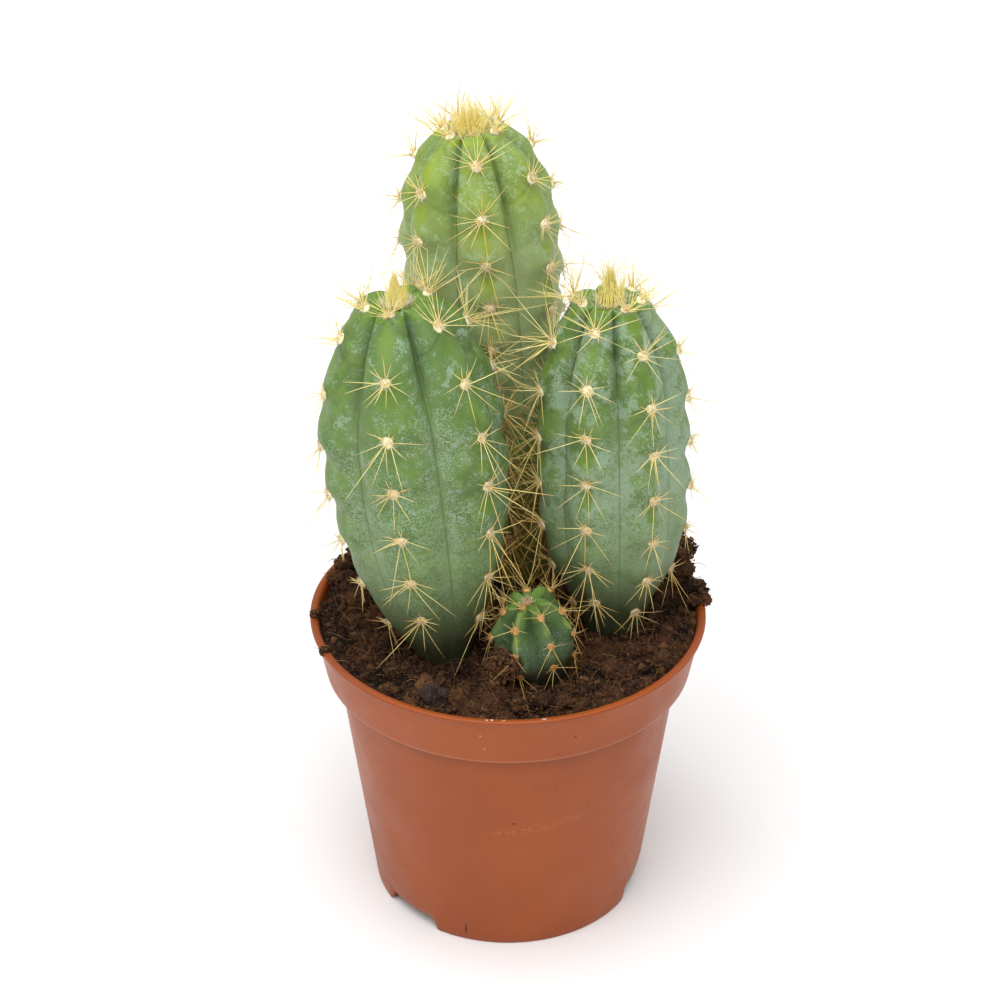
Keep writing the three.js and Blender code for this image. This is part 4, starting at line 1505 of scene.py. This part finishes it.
    def collar(self) -> Scatter:
        """The cream wool round the tuft's foot.

        Returns:
            The hairs.
        """
        shape, draw = self.shape, self.draw
        count = 160 if shape.small else 520
        angle = draw.uniform(0, 360, count)
        out = draw.uniform(0.55, 1.3, count)
        foot = np.full(count, shape.length - 0.5 * shape.scale)
        root = shape.point(foot, angle, shape.tuft_core * out)
        lean = shape.point(foot + 1, angle, shape.tuft_core * out + 0.9 * (out - 0.6)) - root
        aim = unit(lean + draw.normal(0, 0.35, (count, 3)))
        longest = 3.4 if shape.tuft_core > self.FAN_FROM else 2.9
        length = draw.uniform(1.0, longest, count) * shape.scale ** 0.6
        shade = draw.uniform(-0.2, 0.35, count) + (0.5 if shape.small else 0)
        return Scatter.of_hairs(root, aim, 1.2 * self.FUZZ_RADIUS, length, shade)

    def build(self, materials: dict[str, Material], trees: dict[str, Tree], soil: "Soil",
              others: list[StemShape]) -> None:
        """Makes and dresses every piece of the stem.

        Args:
            materials: The finishes by name.
            trees: The Geometry Nodes trees by name.
            soil: The soil.
            others: The other stems.
        """
        name, small = self.shape.name, self.shape.small
        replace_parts(dress(self.skin(), materials[self.slot.value]), f"stem_{name}")
        spines = self.spines(soil, others)
        domes, fuzz = self.wool()
        foot = self.collar()
        tuft = self.tuft()
        cushion, brush = ("rust", "rust") if small else ("wool", "gold")
        slender = {"Sides": 4, "Steps": 3}
        for scatter, piece, tree, finish, step, inputs in (
                (spines, f"stem_{name}_spines", "bristles", "spine", 1,
                 {**slender, "Bend": 0.04, "Tip": 0.3}),
                (domes, f"stem_{name}_cushions", "crumbs", cushion, 2, {"Fineness": 2, "Roughness": 0.5}),
                (fuzz, f"stem_{name}_felt", "hairs", cushion, 3, {"Tip": 0.3}),
                (foot, f"crown_{name}_wool", "hairs", "wool", 5, {"Tip": 0.3}),
                (tuft, f"crown_{name}_tuft", "bristles", brush, 4, {**slender, "Bend": 0.06, "Tip": 0.15})):
            made = scatter.build(piece, trees[tree], materials[finish], Slot.GOLD, self.seed + step, **inputs)
        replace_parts(made, f"crown_{name}")


@dataclass(frozen=True)
class Mound:
    """A rise or hollow of the soil: its place, height and spread."""

    x: float
    y: float
    height: float
    spread: float


@dataclass
class Soil:
    """The peat bed, its crumbs and its fibres."""

    level: float = 93.2
    edge_drop: float = 1.2
    edge_radius: float = 56.9
    floor: float = 6.5
    floor_radius: float = 40.5
    rings: int = 74
    spokes: int = 300
    crumbs: int = 1500
    grains: int = 5000
    fibres: int = 1900
    seed: int = 411
    mounds: tuple = (Mound(49, 20, 12, 7.5), Mound(-46, 29, 3.5, 9), Mound(-51, 18.5, 6.5, 4.2),
                     Mound(-53, -5, 2.2, 8), Mound(-47, -26, 1.8, 8), Mound(53, -6, 2.2, 9),
                     Mound(-16, 52, 2, 12), Mound(-4, -43.5, 5.5, 3.4), Mound(8, -47, -2.5, 5),
                     Mound(-26, -42, 1.5, 5), Mound(35, -28, 1.5, 8))
    # Each clod is its place and radius. The fluffy ones have more crumbs and fibres: five lean on the
    # offset and four lie on the mound at the back right.
    fluffy: tuple = ((-2.4, -38.4, 104.2, 2.1), (1.4, -39.4, 102.4, 1.9), (-4.6, -39.6, 101.2, 2.1),
                     (-1.2, -40.2, 100.4, 2.1), (-4.8, -41.4, 98.2, 2.0), (53, 17, 104.8, 3.2),
                     (49, 24, 106.3, 3.5), (54.6, 20.4, 105.2, 2.6), (51.4, 22.4, 107.4, 2.2))
    firm: tuple = ((-50.5, 19.5, 100.2, 2.9), (-47, 22.5, 101.6, 2.6), (-53.6, 15.6, 97.6, 2.2),
                   (-54.5, -23.5, 96.4, 1.4), (54.6, 12.5, 101.8, 2.8), (45.5, 27, 103.6, 3.2),
                   (55.6, 8.5, 98.7, 2.3), (51, 15, 106.2, 2.6), (56.8, 2.5, 97.2, 1.9),
                   (53, 22, 104.0, 2.6), (59.6, 6, 97.9, 1.7), (60.2, 2, 97.7, 1.5), (58.6, 9.6, 98.2, 1.8),
                   (-58.4, -5, 97.2, 1.2), (-24, -41, 94.6, 3.6), (-15, -45, 93.8, 3.0),
                   (-10, -48.5, 93.2, 2.4), (3, -47, 93.6, 2.8), (9.5, -45.5, 93.9, 3.2),
                   (16, -45, 93.6, 2.6), (22, -39.5, 94.2, 3.1), (30, -32, 94.8, 3.2), (36, -22, 94.6, 3.0),
                   (46, -24, 93.6, 2.7), (-34, -31, 94.0, 3.0), (-43, -14, 93.8, 2.9),
                   (-28, -47.5, 93.2, 2.6), (41, -36, 92.8, 2.4), (-46, 6, 94.0, 3.0), (-40, 24, 96.2, 3.2),
                   (-22, 40, 94.2, 3.1), (20, 46, 94.2, 3.2), (33, 38, 95.0, 3.0), (-8, 50, 93.6, 2.8),
                   (-35, -40, 93.4, 2.6))
    slate: tuple = ((-23.4, -43.6, 94.8, 3.0), (-19.6, -44.6, 94.4, 3.2), (-21.6, -41, 95.2, 2.6))

    # The pot's rim, which spines and fibres stay clear of.
    RIM_INSIDE = 56.5
    RIM_OUTSIDE = 61.5
    RIM_TOP = 96.5
    COLLAR_REACH = 12

    def clods(self) -> tuple[np.ndarray, np.ndarray]:
        """Every clod of peat, and which of them are fluffy."""
        table = np.array(self.fluffy + self.firm, float)
        return table, np.arange(len(table)) < len(self.fluffy)

    def height(self, x: np.ndarray, y: np.ndarray) -> np.ndarray:
        """The surface as on the solid, without its crumbs.

        Args:
            x: Places along X.
            y: Places along Y.

        Returns:
            The height at each.
        """
        z = self.level - self.edge_drop * (np.hypot(x, y) / self.RIM_INSIDE) ** 4
        for mound in self.mounds:
            away = ((x - mound.x) ** 2 + (y - mound.y) ** 2) / (2 * mound.spread ** 2)
            z = z + mound.height * np.exp(-away)
        return z + 0.7 * np.sin(0.31 * x + 1.1) * np.sin(0.27 * y + 0.4) + 0.45 * np.sin(0.62 * x - 0.41 * y)

    def near(self, points: np.ndarray, margin: float) -> np.ndarray:
        """Which points are in the soil or the pot, or nearer than a margin.

        Args:
            points: Places, one row each.
            margin: The least distance.

        Returns:
            True for each point that is too near.
        """
        out, z = np.hypot(points[:, 0], points[:, 1]), points[:, 2]
        rim = (out > self.RIM_INSIDE) & (out < self.RIM_OUTSIDE) & (z < self.RIM_TOP + margin)
        outside = (out >= self.RIM_OUTSIDE) & (z < self.RIM_TOP - self.COLLAR_REACH)
        ground = (out <= 60) & (z < self.height(points[:, 0], points[:, 1]) + margin + 0.8)
        return rim | ground | outside

    def crumbled(self, x: np.ndarray, y: np.ndarray) -> np.ndarray:
        """The surface with its lumps and grains.

        Args:
            x: Places along X.
            y: Places along Y.

        Returns:
            The height at each.
        """
        noise = LumpNoise(self.seed)
        flat = np.stack([x, y, np.zeros_like(x)], axis=1)
        lumps = noise.fractal(flat, 7.5, 2)
        clods = np.abs(noise.fractal(flat + 40, 3.4, 3, 0.6))
        grains = noise.fractal(flat + 90, 1.3, 2, 0.7)
        fade = 1 - 0.75 * ease(52, 57, np.hypot(x, y))
        return self.height(x, y) + fade * (1.2 * lumps + 3.0 * (clods - 0.36) + 0.7 * grains)

    def strewn_places(self, draw: np.random.Generator, count: int, radius: float) -> tuple:
        """Draws places over the bed, as X and Y."""
        out, angle = radius * np.sqrt(draw.uniform(0, 1, count)), draw.uniform(0, 2 * math.pi, count)
        return out * np.sin(angle), -out * np.cos(angle)

    def bed(self) -> Piece:
        """Makes the bed as one closed body, from the pot's floor to the crumbly top.

        Returns:
            The bed.
        """
        angles = np.arange(self.spokes) * 2 * math.pi / self.spokes
        sides = [(self.floor_radius, self.floor), (50.2, 77.6), (54.1, 80.6), (self.edge_radius - 0.4, 90.5)]
        rings = [ring(radius, angles, z) for radius, z in sides]
        for radius in np.linspace(self.edge_radius, self.edge_radius / self.rings, self.rings):
            flat = ring(radius, angles, 0.0)
            flat[:, 2] = self.crumbled(flat[:, 0], flat[:, 1])
            rings.append(flat)
        middle = np.array([0.0])
        ends = np.array([[0, 0, self.floor], [0, 0, float(self.crumbled(middle, middle)[0])]])
        points = np.concatenate([*rings, ends])
        faces = closed_faces(len(rings), self.spokes)
        return plain_mesh("peat_bed", points, faces, {"shade": np.zeros(len(points))})

    def strewn(self, count: int, seed: int, small: float, large: float, power: float,
               stems: list[StemShape]) -> Scatter:
        """Crumbs scattered over the bed, clear of the stems.

        Args:
            count: How many are drawn.
            seed: The seed of the draw.
            small: The least radius.
            large: The greatest radius.
            power: How rare large ones are.
            stems: The stems to stay clear of.

        Returns:
            The crumbs.
        """
        draw = np.random.default_rng(seed)
        x, y = self.strewn_places(draw, count, 56.3)
        size = small + (large - small) * draw.uniform(0, 1, count) ** power
        root = np.stack([x, y, self.crumbled(x, y) + 0.25 * size], axis=1)
        shape = size[:, None] * draw.uniform(0.65, 1.35, (count, 3))
        aim = unit(draw.normal(0, 1, (count, 3)))
        shade = np.clip(draw.normal(0.12, 0.22, count), 0, 1)
        free = ~np.any([stem.inside(root, -0.5) for stem in stems], axis=0)
        return Scatter(root, aim, shape, shade).kept(free)

    def heaped(self) -> Scatter:
        """The larger clods, some leaning on the offset or hanging over the rim, and one lump of slate.

        Returns:
            The clods.
        """
        draw = np.random.default_rng(self.seed + 7)
        clods = self.clods()[0]
        table = np.concatenate([clods, np.array(self.slate, float)])
        shape = table[:, 3:] * draw.uniform(0.8, 1.2, (len(table), 3))
        shade = np.clip(draw.normal(0.1, 0.12, len(table)), 0, 1)
        shade[len(clods):] = -0.55
        return Scatter(table[:, :3], unit(draw.normal(0, 1, (len(table), 3))), shape, shade)

    def clinging(self, each: int, small: float, large: float) -> Scatter:
        """Crumbs that cling to the larger clods.

        Args:
            each: How many to a firm clod. A fluffy one has three times as many.
            small: The least radius.
            large: The greatest radius.

        Returns:
            The crumbs.
        """
        draw = np.random.default_rng(self.seed + 8)
        table, loose = self.clods()
        repeats = np.where(loose, 3 * each, each)
        table, loose = np.repeat(table, repeats, axis=0), np.repeat(loose, repeats)[:, None]
        count = len(table)
        way = unit(draw.normal(0, 1, (count, 3)))
        root = table[:, :3] + way * table[:, 3:] * draw.uniform(0.75, 1.0, (count, 1)) * (1.0 + 0.5 * loose)
        size = draw.uniform(small, large, count)[:, None] * draw.uniform(0.6, 1.4, (count, 3))
        return Scatter(root, way, size, np.clip(draw.normal(0.2, 0.25, count), 0, 1))

    def threads(self, stems: list[StemShape]) -> Scatter:
        """Fibres that lie on the bed and its clods, or stick out a little.

        Args:
            stems: The stems to stay clear of.

        Returns:
            The fibres.
        """
        draw = np.random.default_rng(self.seed + 5)
        x, y = self.strewn_places(draw, self.fibres, 55)
        lying = np.stack([x, y, self.crumbled(x, y) + 0.2], axis=1)
        clods, loose = self.clods()
        table = np.repeat(clods, np.where(loose, 60, 17), axis=0)
        way = unit(draw.normal(0, 1, (len(table), 3)) + np.array([0, 0, 0.5]))
        root = np.concatenate([lying, table[:, :3] + way * table[:, 3:] * 0.95])
        count = len(root)
        turn, rise = draw.uniform(0, 2 * math.pi, count), draw.normal(0.1, 0.25, count)
        aim = unit(np.stack([np.cos(turn), np.sin(turn), rise], axis=1))
        share = np.where(np.arange(count) < len(lying), 1, 0.6)
        length = (1.4 + 8.0 * draw.uniform(0, 1, count) ** 2) * share
        tip = root + aim * length[:, None]
        over_rim = (tip[:, 2] > self.RIM_TOP + 1) & (np.abs(tip[:, :2]).max(axis=1) < SIDE_LIMIT)
        free = (np.hypot(tip[:, 0], tip[:, 1]) < 57) | over_rim
        for stem in stems:
            free &= ~stem.inside(root, 0.3) & ~stem.inside(tip, 0.3)
        radius = draw.uniform(0.05, 0.13, count)
        shade = draw.uniform(0, 1, count) ** 1.6
        return Scatter.of_hairs(root, aim, radius, length, shade).kept(free)

    def build(self, materials: dict[str, Material], trees: dict[str, Tree], stems: list[StemShape]) -> None:
        """Makes and dresses the bed, the crumbs and the fibres.

        Args:
            materials: The finishes by name.
            trees: The Geometry Nodes trees by name.
            stems: The stems to stay clear of.
        """
        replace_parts(dress(self.bed(), materials["peat"]), "soil")
        coarse = self.strewn(self.crumbs, self.seed + 1, 0.35, 1.5, 3.0, stems)
        fine = self.strewn(self.grains, self.seed + 3, 0.18, 0.5, 1.5, stems)
        for scatter, piece, step, fineness, roughness in (
                (coarse, "peat_crumbs", 2, 2, 1.3), (fine, "peat_grains", 4, 1, 1.0),
                (self.heaped(), "peat_clods", 9, 3, 1.8),
                (self.clinging(42, 0.25, 0.75), "clod_crumbs", 10, 1, 1.4)):
            scatter.build(piece, trees["crumbs"], materials["peat"], Slot.SOIL, self.seed + step,
                          Fineness=fineness, Roughness=roughness)
        self.threads(stems).build("coir_fibres", trees["bristles"], materials["coir"], Slot.SOIL,
                                  self.seed + 6, Sides=3, Steps=4, Bend=0.3, Tip=0.5)


@dataclass(frozen=True)
class Pot:
    """The nursery pot: a tapered body, a collar with a rolled lip, and a notched foot ring."""

    height: float = 96.5
    rim_radius: float = 60.0
    collar_z: float = 79.0
    collar_radius: float = 56.0
    body_top: float = 52.1
    foot_radius: float = 41.8
    wall: float = 1.5
    floor_under: float = 4.6
    notch_angles: tuple = (-46, 74, 194)
    notch_half: float = 15.0
    notch_height: float = 4.3
    notch_slope: float = 3.3
    blend_height: float = 9.0
    holes: int = 5
    hole_radius: float = 3.5
    hole_circle: float = 27.0
    hole_sides: int = 28
    around: int = 240

    # Rows of faces up the body and up the collar, and the floor's rings.
    BODY_ROWS = 34
    COLLAR_ROWS = 10
    FLOOR_RADII = (36.0, 32.0, 22.0, 12.0)
    # How many points of the outline's start lie inside the foot ring.
    FOOT_INSIDE = 4

    def edge(self, angle: np.ndarray) -> np.ndarray:
        """How high the foot's edge is at an angle: nothing, or the notch's height.

        Args:
            angle: Angles round the pot.

        Returns:
            The height at each.
        """
        lift = np.zeros_like(angle)
        for centre in self.notch_angles:
            away = np.abs((angle - centre + 180) % 360 - 180)
            open_part = 1 - ease(self.notch_half - self.notch_slope, self.notch_half, away)
            lift = np.maximum(lift, self.notch_height * open_part)
        return lift

    def outside(self) -> list[tuple[float, float]]:
        """The outline from inside the foot ring, round its edge and up the body to the step.

        Returns:
            Radius and height of each point.
        """
        foot, top, z, inner = self.foot_radius, self.body_top, self.collar_z, self.foot_radius - self.wall
        line = [(inner, self.floor_under - 0.4), (inner, 2.2), (inner + 0.1, 0.4), (inner + 0.4, 0.02),
                (foot - 0.45, 0.0), (foot - 0.05, 0.15), (foot + 0.2, 0.6)]
        for k in range(1, self.BODY_ROWS):
            share = k / self.BODY_ROWS
            line.append((foot + 0.2 + (top - foot - 0.25) * share, 0.6 + (z - 1.6) * share))
        return line + [(top, z - 0.75)]

    def rim_and_inside(self) -> list[tuple[float, float]]:
        """The outline from the step, up the collar, over the lip and down the inside to the floor.

        Returns:
            Radius and height of each point.
        """
        top, rim, collar, z = self.body_top, self.rim_radius, self.collar_radius, self.collar_z
        line = [(top + 0.35, z - 0.45), (collar - 1.3, z - 0.12), (collar - 0.55, z + 0.02),
                (collar - 0.12, z + 0.4), (collar + 0.05, z + 1.2)]
        lip = self.height - 1.5
        for k in range(1, self.COLLAR_ROWS):
            share = k / self.COLLAR_ROWS
            line.append((collar + 0.05 + (rim - 1.3 - collar) * share, z + 1.2 + (lip - z - 1.9) * share))
        line += [(rim - in_, lip + up) for in_, up in (
            (1.15, -0.35), (0.95, -0.05), (0.3, 0.05), (0.05, 0.25), (0, 0.5), (0.18, 0.68), (0.2, 0.82),
            (0.03, 1.0), (0.05, 1.2), (0.25, 1.4), (0.6, 1.5), (1.3, 1.46), (1.9, 1.3), (2.3, 0.9),
            (2.65, 0.2), (2.75, -0.6))]
        return line + [(56.2, 90.0), (54.6, 81.4), (54.2, 80.0), (50.8, 78.0), (50.5, 77.0), (45.8, 42.0),
                       (41.3, 8.0), (40.7, 6.6), (39.6, self.floor_under + self.wall)]

    def shell(self) -> Piece:
        """Makes the pot as one closed shell with its notches and drain holes.

        Returns:
            The shell.
        """
        angles = np.arange(self.around) * 360 / self.around
        lift, a = self.edge(angles), np.radians(angles)
        under, over = self.floor_under, self.floor_under + self.wall
        rings = [ring(radius, a, under) for radius in reversed(self.FLOOR_RADII)]
        for k, (radius, z) in enumerate(self.outside()):
            ceiling = under if k < self.FOOT_INSIDE else self.blend_height
            level = lift + z * (ceiling - lift) / ceiling if z < ceiling else z
            rings.append(ring(radius, a, level))
        rings += [ring(radius, a, z) for radius, z in self.rim_and_inside()]
        rings += [ring(radius, a, over) for radius in self.FLOOR_RADII]
        points = np.concatenate([*rings, [[0, 0, under], [0, 0, over]]])
        return self.drilled(plain_mesh("nursery_pot", points, closed_faces(len(rings), self.around)))

    def drilled(self, shell: Piece) -> Piece:
        """Cuts the drain holes through the floor.

        Args:
            shell: The pot's shell.

        Returns:
            The same shell.
        """
        sides = self.hole_sides
        turn = np.arange(sides) * 2 * math.pi / sides
        points, faces = [], []
        for k in range(self.holes):
            a = 2 * math.pi * k / self.holes
            x, y = self.hole_circle * math.sin(a), -self.hole_circle * math.cos(a)
            first = len(points)
            for z in (self.floor_under - 2, self.floor_under + self.wall + 2):
                points += [(x + self.hole_radius * math.cos(t), y + self.hole_radius * math.sin(t), z)
                           for t in turn]
            faces += [[first + i, first + (i + 1) % sides, first + sides + (i + 1) % sides, first + sides + i]
                      for i in range(sides)]
            faces.append([first + i for i in reversed(range(sides))])
            faces.append([first + sides + i for i in range(sides)])
        cutter = plain_mesh("drain_drills", np.array(points), faces)
        modifier = shell.modifiers.new("drain", "BOOLEAN")
        modifier.object = cutter
        modifier.operation = "DIFFERENCE"
        modifier.solver = "EXACT"
        applied(shell).data.shade_smooth()
        bpy.data.objects.remove(cutter)
        return shell

    def build(self, material: Material) -> None:
        """Makes and dresses the pot."""
        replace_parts(dress(self.shell(), material), "pot")


@dataclass(frozen=True)
class Studio:
    """A pale floor, a white room, a soft lamp overhead and the camera."""

    camera_place: tuple = (-2.44, -645.3, 517.5)
    camera_tilt: float = 59.3
    lens: float = 91.26
    sensor: float = 36.0
    room: float = 0.72
    lamp_place: tuple = (-120, -280, 980)
    lamp_aim: tuple = (0, 0, 100)
    lamp_side: float = 900
    lamp_power: float = 9.0
    floor_half: float = 6000.0

    def floor(self) -> None:
        """A wide pale floor, which glows a little away from the pot as a lit sweep does."""
        half = self.floor_half
        points = np.array([[-half, -half, 0], [half, -half, 0], [half, half, 0], [-half, half, 0]])
        floor = plain_mesh("studio_floor", points, [[0, 1, 2, 3]])
        material, graph, shader = new_material("pale_floor")
        tone = graph.span(graph.noise(3, 2), 0.3, 0.7, 0.0, 0.15)
        away = graph.add("ShaderNodeVectorMath", {0: graph.place}, operation="LENGTH").outputs["Value"]
        graph.feed(shader, {"Base Color": graph.mix(tone, (0.9, 0.9, 0.9, 1), (0.87, 0.87, 0.87, 1)),
                            "Roughness": 0.85, "Specular IOR Level": 0.2, "Emission Color": (1, 1, 1, 1),
                            "Emission Strength": graph.span(away, 0.1, 0.6, 0.02, 0.4)})
        floor.data.materials.append(material)

    def lamp(self) -> None:
        """Adds the soft square lamp."""
        light = bpy.data.lights.new("overhead", "AREA")
        light.size = self.lamp_side * METRES
        light.energy = self.lamp_power
        lamp = bpy.data.objects.new("overhead", light)
        lamp.location = Vector(self.lamp_place) * METRES
        line = Vector(self.lamp_aim) - Vector(self.lamp_place)
        lamp.rotation_euler = line.to_track_quat("-Z", "Y").to_euler()
        bpy.context.scene.collection.objects.link(lamp)

    def camera(self) -> None:
        """Adds the camera at the photograph's viewing angle."""
        camera = bpy.data.cameras.new("camera")
        camera.sensor_width = self.sensor
        camera.lens = self.lens
        eye = bpy.data.objects.new("camera", camera)
        eye.location = Vector(self.camera_place) * METRES
        eye.rotation_euler = (math.radians(self.camera_tilt), 0, 0)
        bpy.context.scene.collection.objects.link(eye)
        bpy.context.scene.camera = eye

    def build(self) -> None:
        """Sets the room up."""
        self.floor()
        world = bpy.data.worlds.new("white_room")
        world.use_nodes = True
        Graph(world.node_tree).feed(world.node_tree.nodes["Background"],
                                    {"Color": (1, 1, 1, 1), "Strength": self.room})
        bpy.context.scene.world = world
        bpy.context.scene.view_settings.view_transform = "Standard"
        self.lamp()
        self.camera()


LEFT = StemShape(
    "left", 6, -11, 15.6, -0.6, (-18.7, -17.5, 93), (-30.9, -15.5, 206.8),
    ((-11, 6), (0, 8.4), (17, 16.5), (35, 22.7), (53, 25.9), (71, 26.7), (84, 26), (98, 21.5), (108, 17),
     (114.5, 11.5)),
    (100.5, 95.2, 104.4, 93.8, 96, 92.5), 3.3, 10, 13)
RIGHT = StemShape(
    "right", 7, -22, 14.7, 0.4, (31.6, -3.6, 93.5), (28.6, -5, 202.3),
    ((-11, 6), (0, 8.2), (8, 11), (24, 18.2), (42, 22), (60, 22.2), (76, 21.7), (92, 19.6), (101, 15.6),
     (108.8, 10.8)),
    (105.2, 99, 94.4, 101, 97, 92, 98.6), 4, 11.5, 15)
TALL = StemShape(
    "tall", 7, 4, 13.4, 0, (0.6, 29, 93), (-10.6, 30.5, 239.3),
    ((-11, 9.5), (0, 13), (15, 17.2), (35, 20.3), (60, 21.3), (92, 23.1), (107, 23.6), (118, 23.4), (131, 21),
     (140, 16.6), (146.7, 10.4)),
    (141.5, 135, 125.8, 131, 138, 126, 133.6), 5.8, 8.5, 12)
OFFSET = StemShape(
    "offset", 7, 27, 7.5, 0, (8.6, -28.6, 93), (5.6, -28.6, 116.8),
    ((-7, 6), (0, 8.8), (6, 11.4), (11, 12.1), (16, 11.9), (21, 9.6), (24, 6.2)),
    (15.2, 13.5, 14.8, 13, 14.5, 15.4, 13), 1.5, 1.6, 3, 0.5,
    ((142, 6.4, 2.7, 2.8), (208, 6.0, 2.3, 2.0)))

# Each base colour is partly the foot's own tint and partly painted shade near the soil.
BLUE_FLESH = FleshFinish("flesh_blue_green", deep=(72, 100, 36), light=(98, 128, 50), teal=(84, 116, 54),
                         young=(98, 130, 46), rubbed=(108, 136, 52), bloom=(147, 160, 130), base=(46, 50, 24),
                         cover=0.42, blots=0.12, haze=0.24, seed=0.0)
LIGHT_FLESH = FleshFinish("flesh_light_green", deep=(110, 132, 50), light=(134, 154, 62), teal=(114, 142, 76),
                          young=(138, 158, 38), rubbed=(138, 156, 50), bloom=(158, 172, 124),
                          base=(124, 118, 50), cover=0.4, blots=0.26, haze=0.12, seed=0.31,
                          base_from=0.2, base_to=0.46, veil_and_light=0.6)
DARK_FLESH = FleshFinish("flesh_dark_green", deep=(60, 86, 38), light=(88, 114, 50), teal=(64, 88, 52),
                         young=(104, 134, 54), rubbed=(134, 152, 72), bloom=(118, 134, 112),
                         base=(33, 32, 19), cover=0.1, blots=0.05, haze=0.12, seed=0.67,
                         base_from=0.15, base_to=0.62)
SPINE = SpineFinish("spine", (244, 222, 144), (204, 146, 68), (160, 98, 44), 0.72, 0.5)
WOOL = SpineFinish("wool", (253, 243, 206), (226, 172, 100), (255, 249, 222), 0.6, 0.9)
GOLD = SpineFinish("gold", (255, 243, 148), (240, 204, 96), (246, 218, 122), 0.75, 0.5)
RUST = SpineFinish("rust", (238, 190, 124), (190, 112, 54), (206, 140, 74), 0.7, 0.7)
PEAT = PeatFinish("peat", (20, 12, 7), (90, 56, 34), (164, 116, 74))
COIR = PeatFinish("coir", (88, 54, 30), (142, 96, 56), (198, 154, 100))


def main() -> None:
    """Builds the plant, its pot and the studio, and reports each piece."""
    logging.basicConfig(level=logging.INFO, format="%(name)s %(message)s")
    bloom, specks = bloom_group(), speck_group()
    materials = {finish.name: finish.build(bloom) for finish in (BLUE_FLESH, LIGHT_FLESH, DARK_FLESH)}
    materials |= {finish.name: finish.build() for finish in (SPINE, WOOL, GOLD, RUST, PEAT, COIR)}
    trees = {"bristles": bristle_tree(), "hairs": hair_tree(), "crumbs": crumb_tree()}
    soil = Soil()
    shapes = [LEFT, RIGHT, TALL, OFFSET]
    Pot().build(PotFinish().build(specks))
    soil.build(materials, trees, shapes)
    for stem in (Stem(LEFT, Slot.BLUE_GREEN, 168, 0.65, 1001, crowd=10),
                 Stem(RIGHT, Slot.BLUE_GREEN, 168, 0.65, 2001, crowd=10, coat=1.0),
                 Stem(TALL, Slot.LIGHT_GREEN, 168, 0.65, 3001, crowd=10, shaded=0.5, browned=0.12),
                 Stem(OFFSET, Slot.DARK_GREEN, 112, 0.4, 4001, browned=0.45)):
        stem.build(materials, trees, soil, [shape for shape in shapes if shape is not stem.shape])
    Studio().build()


if __name__ == "__main__":
    main()
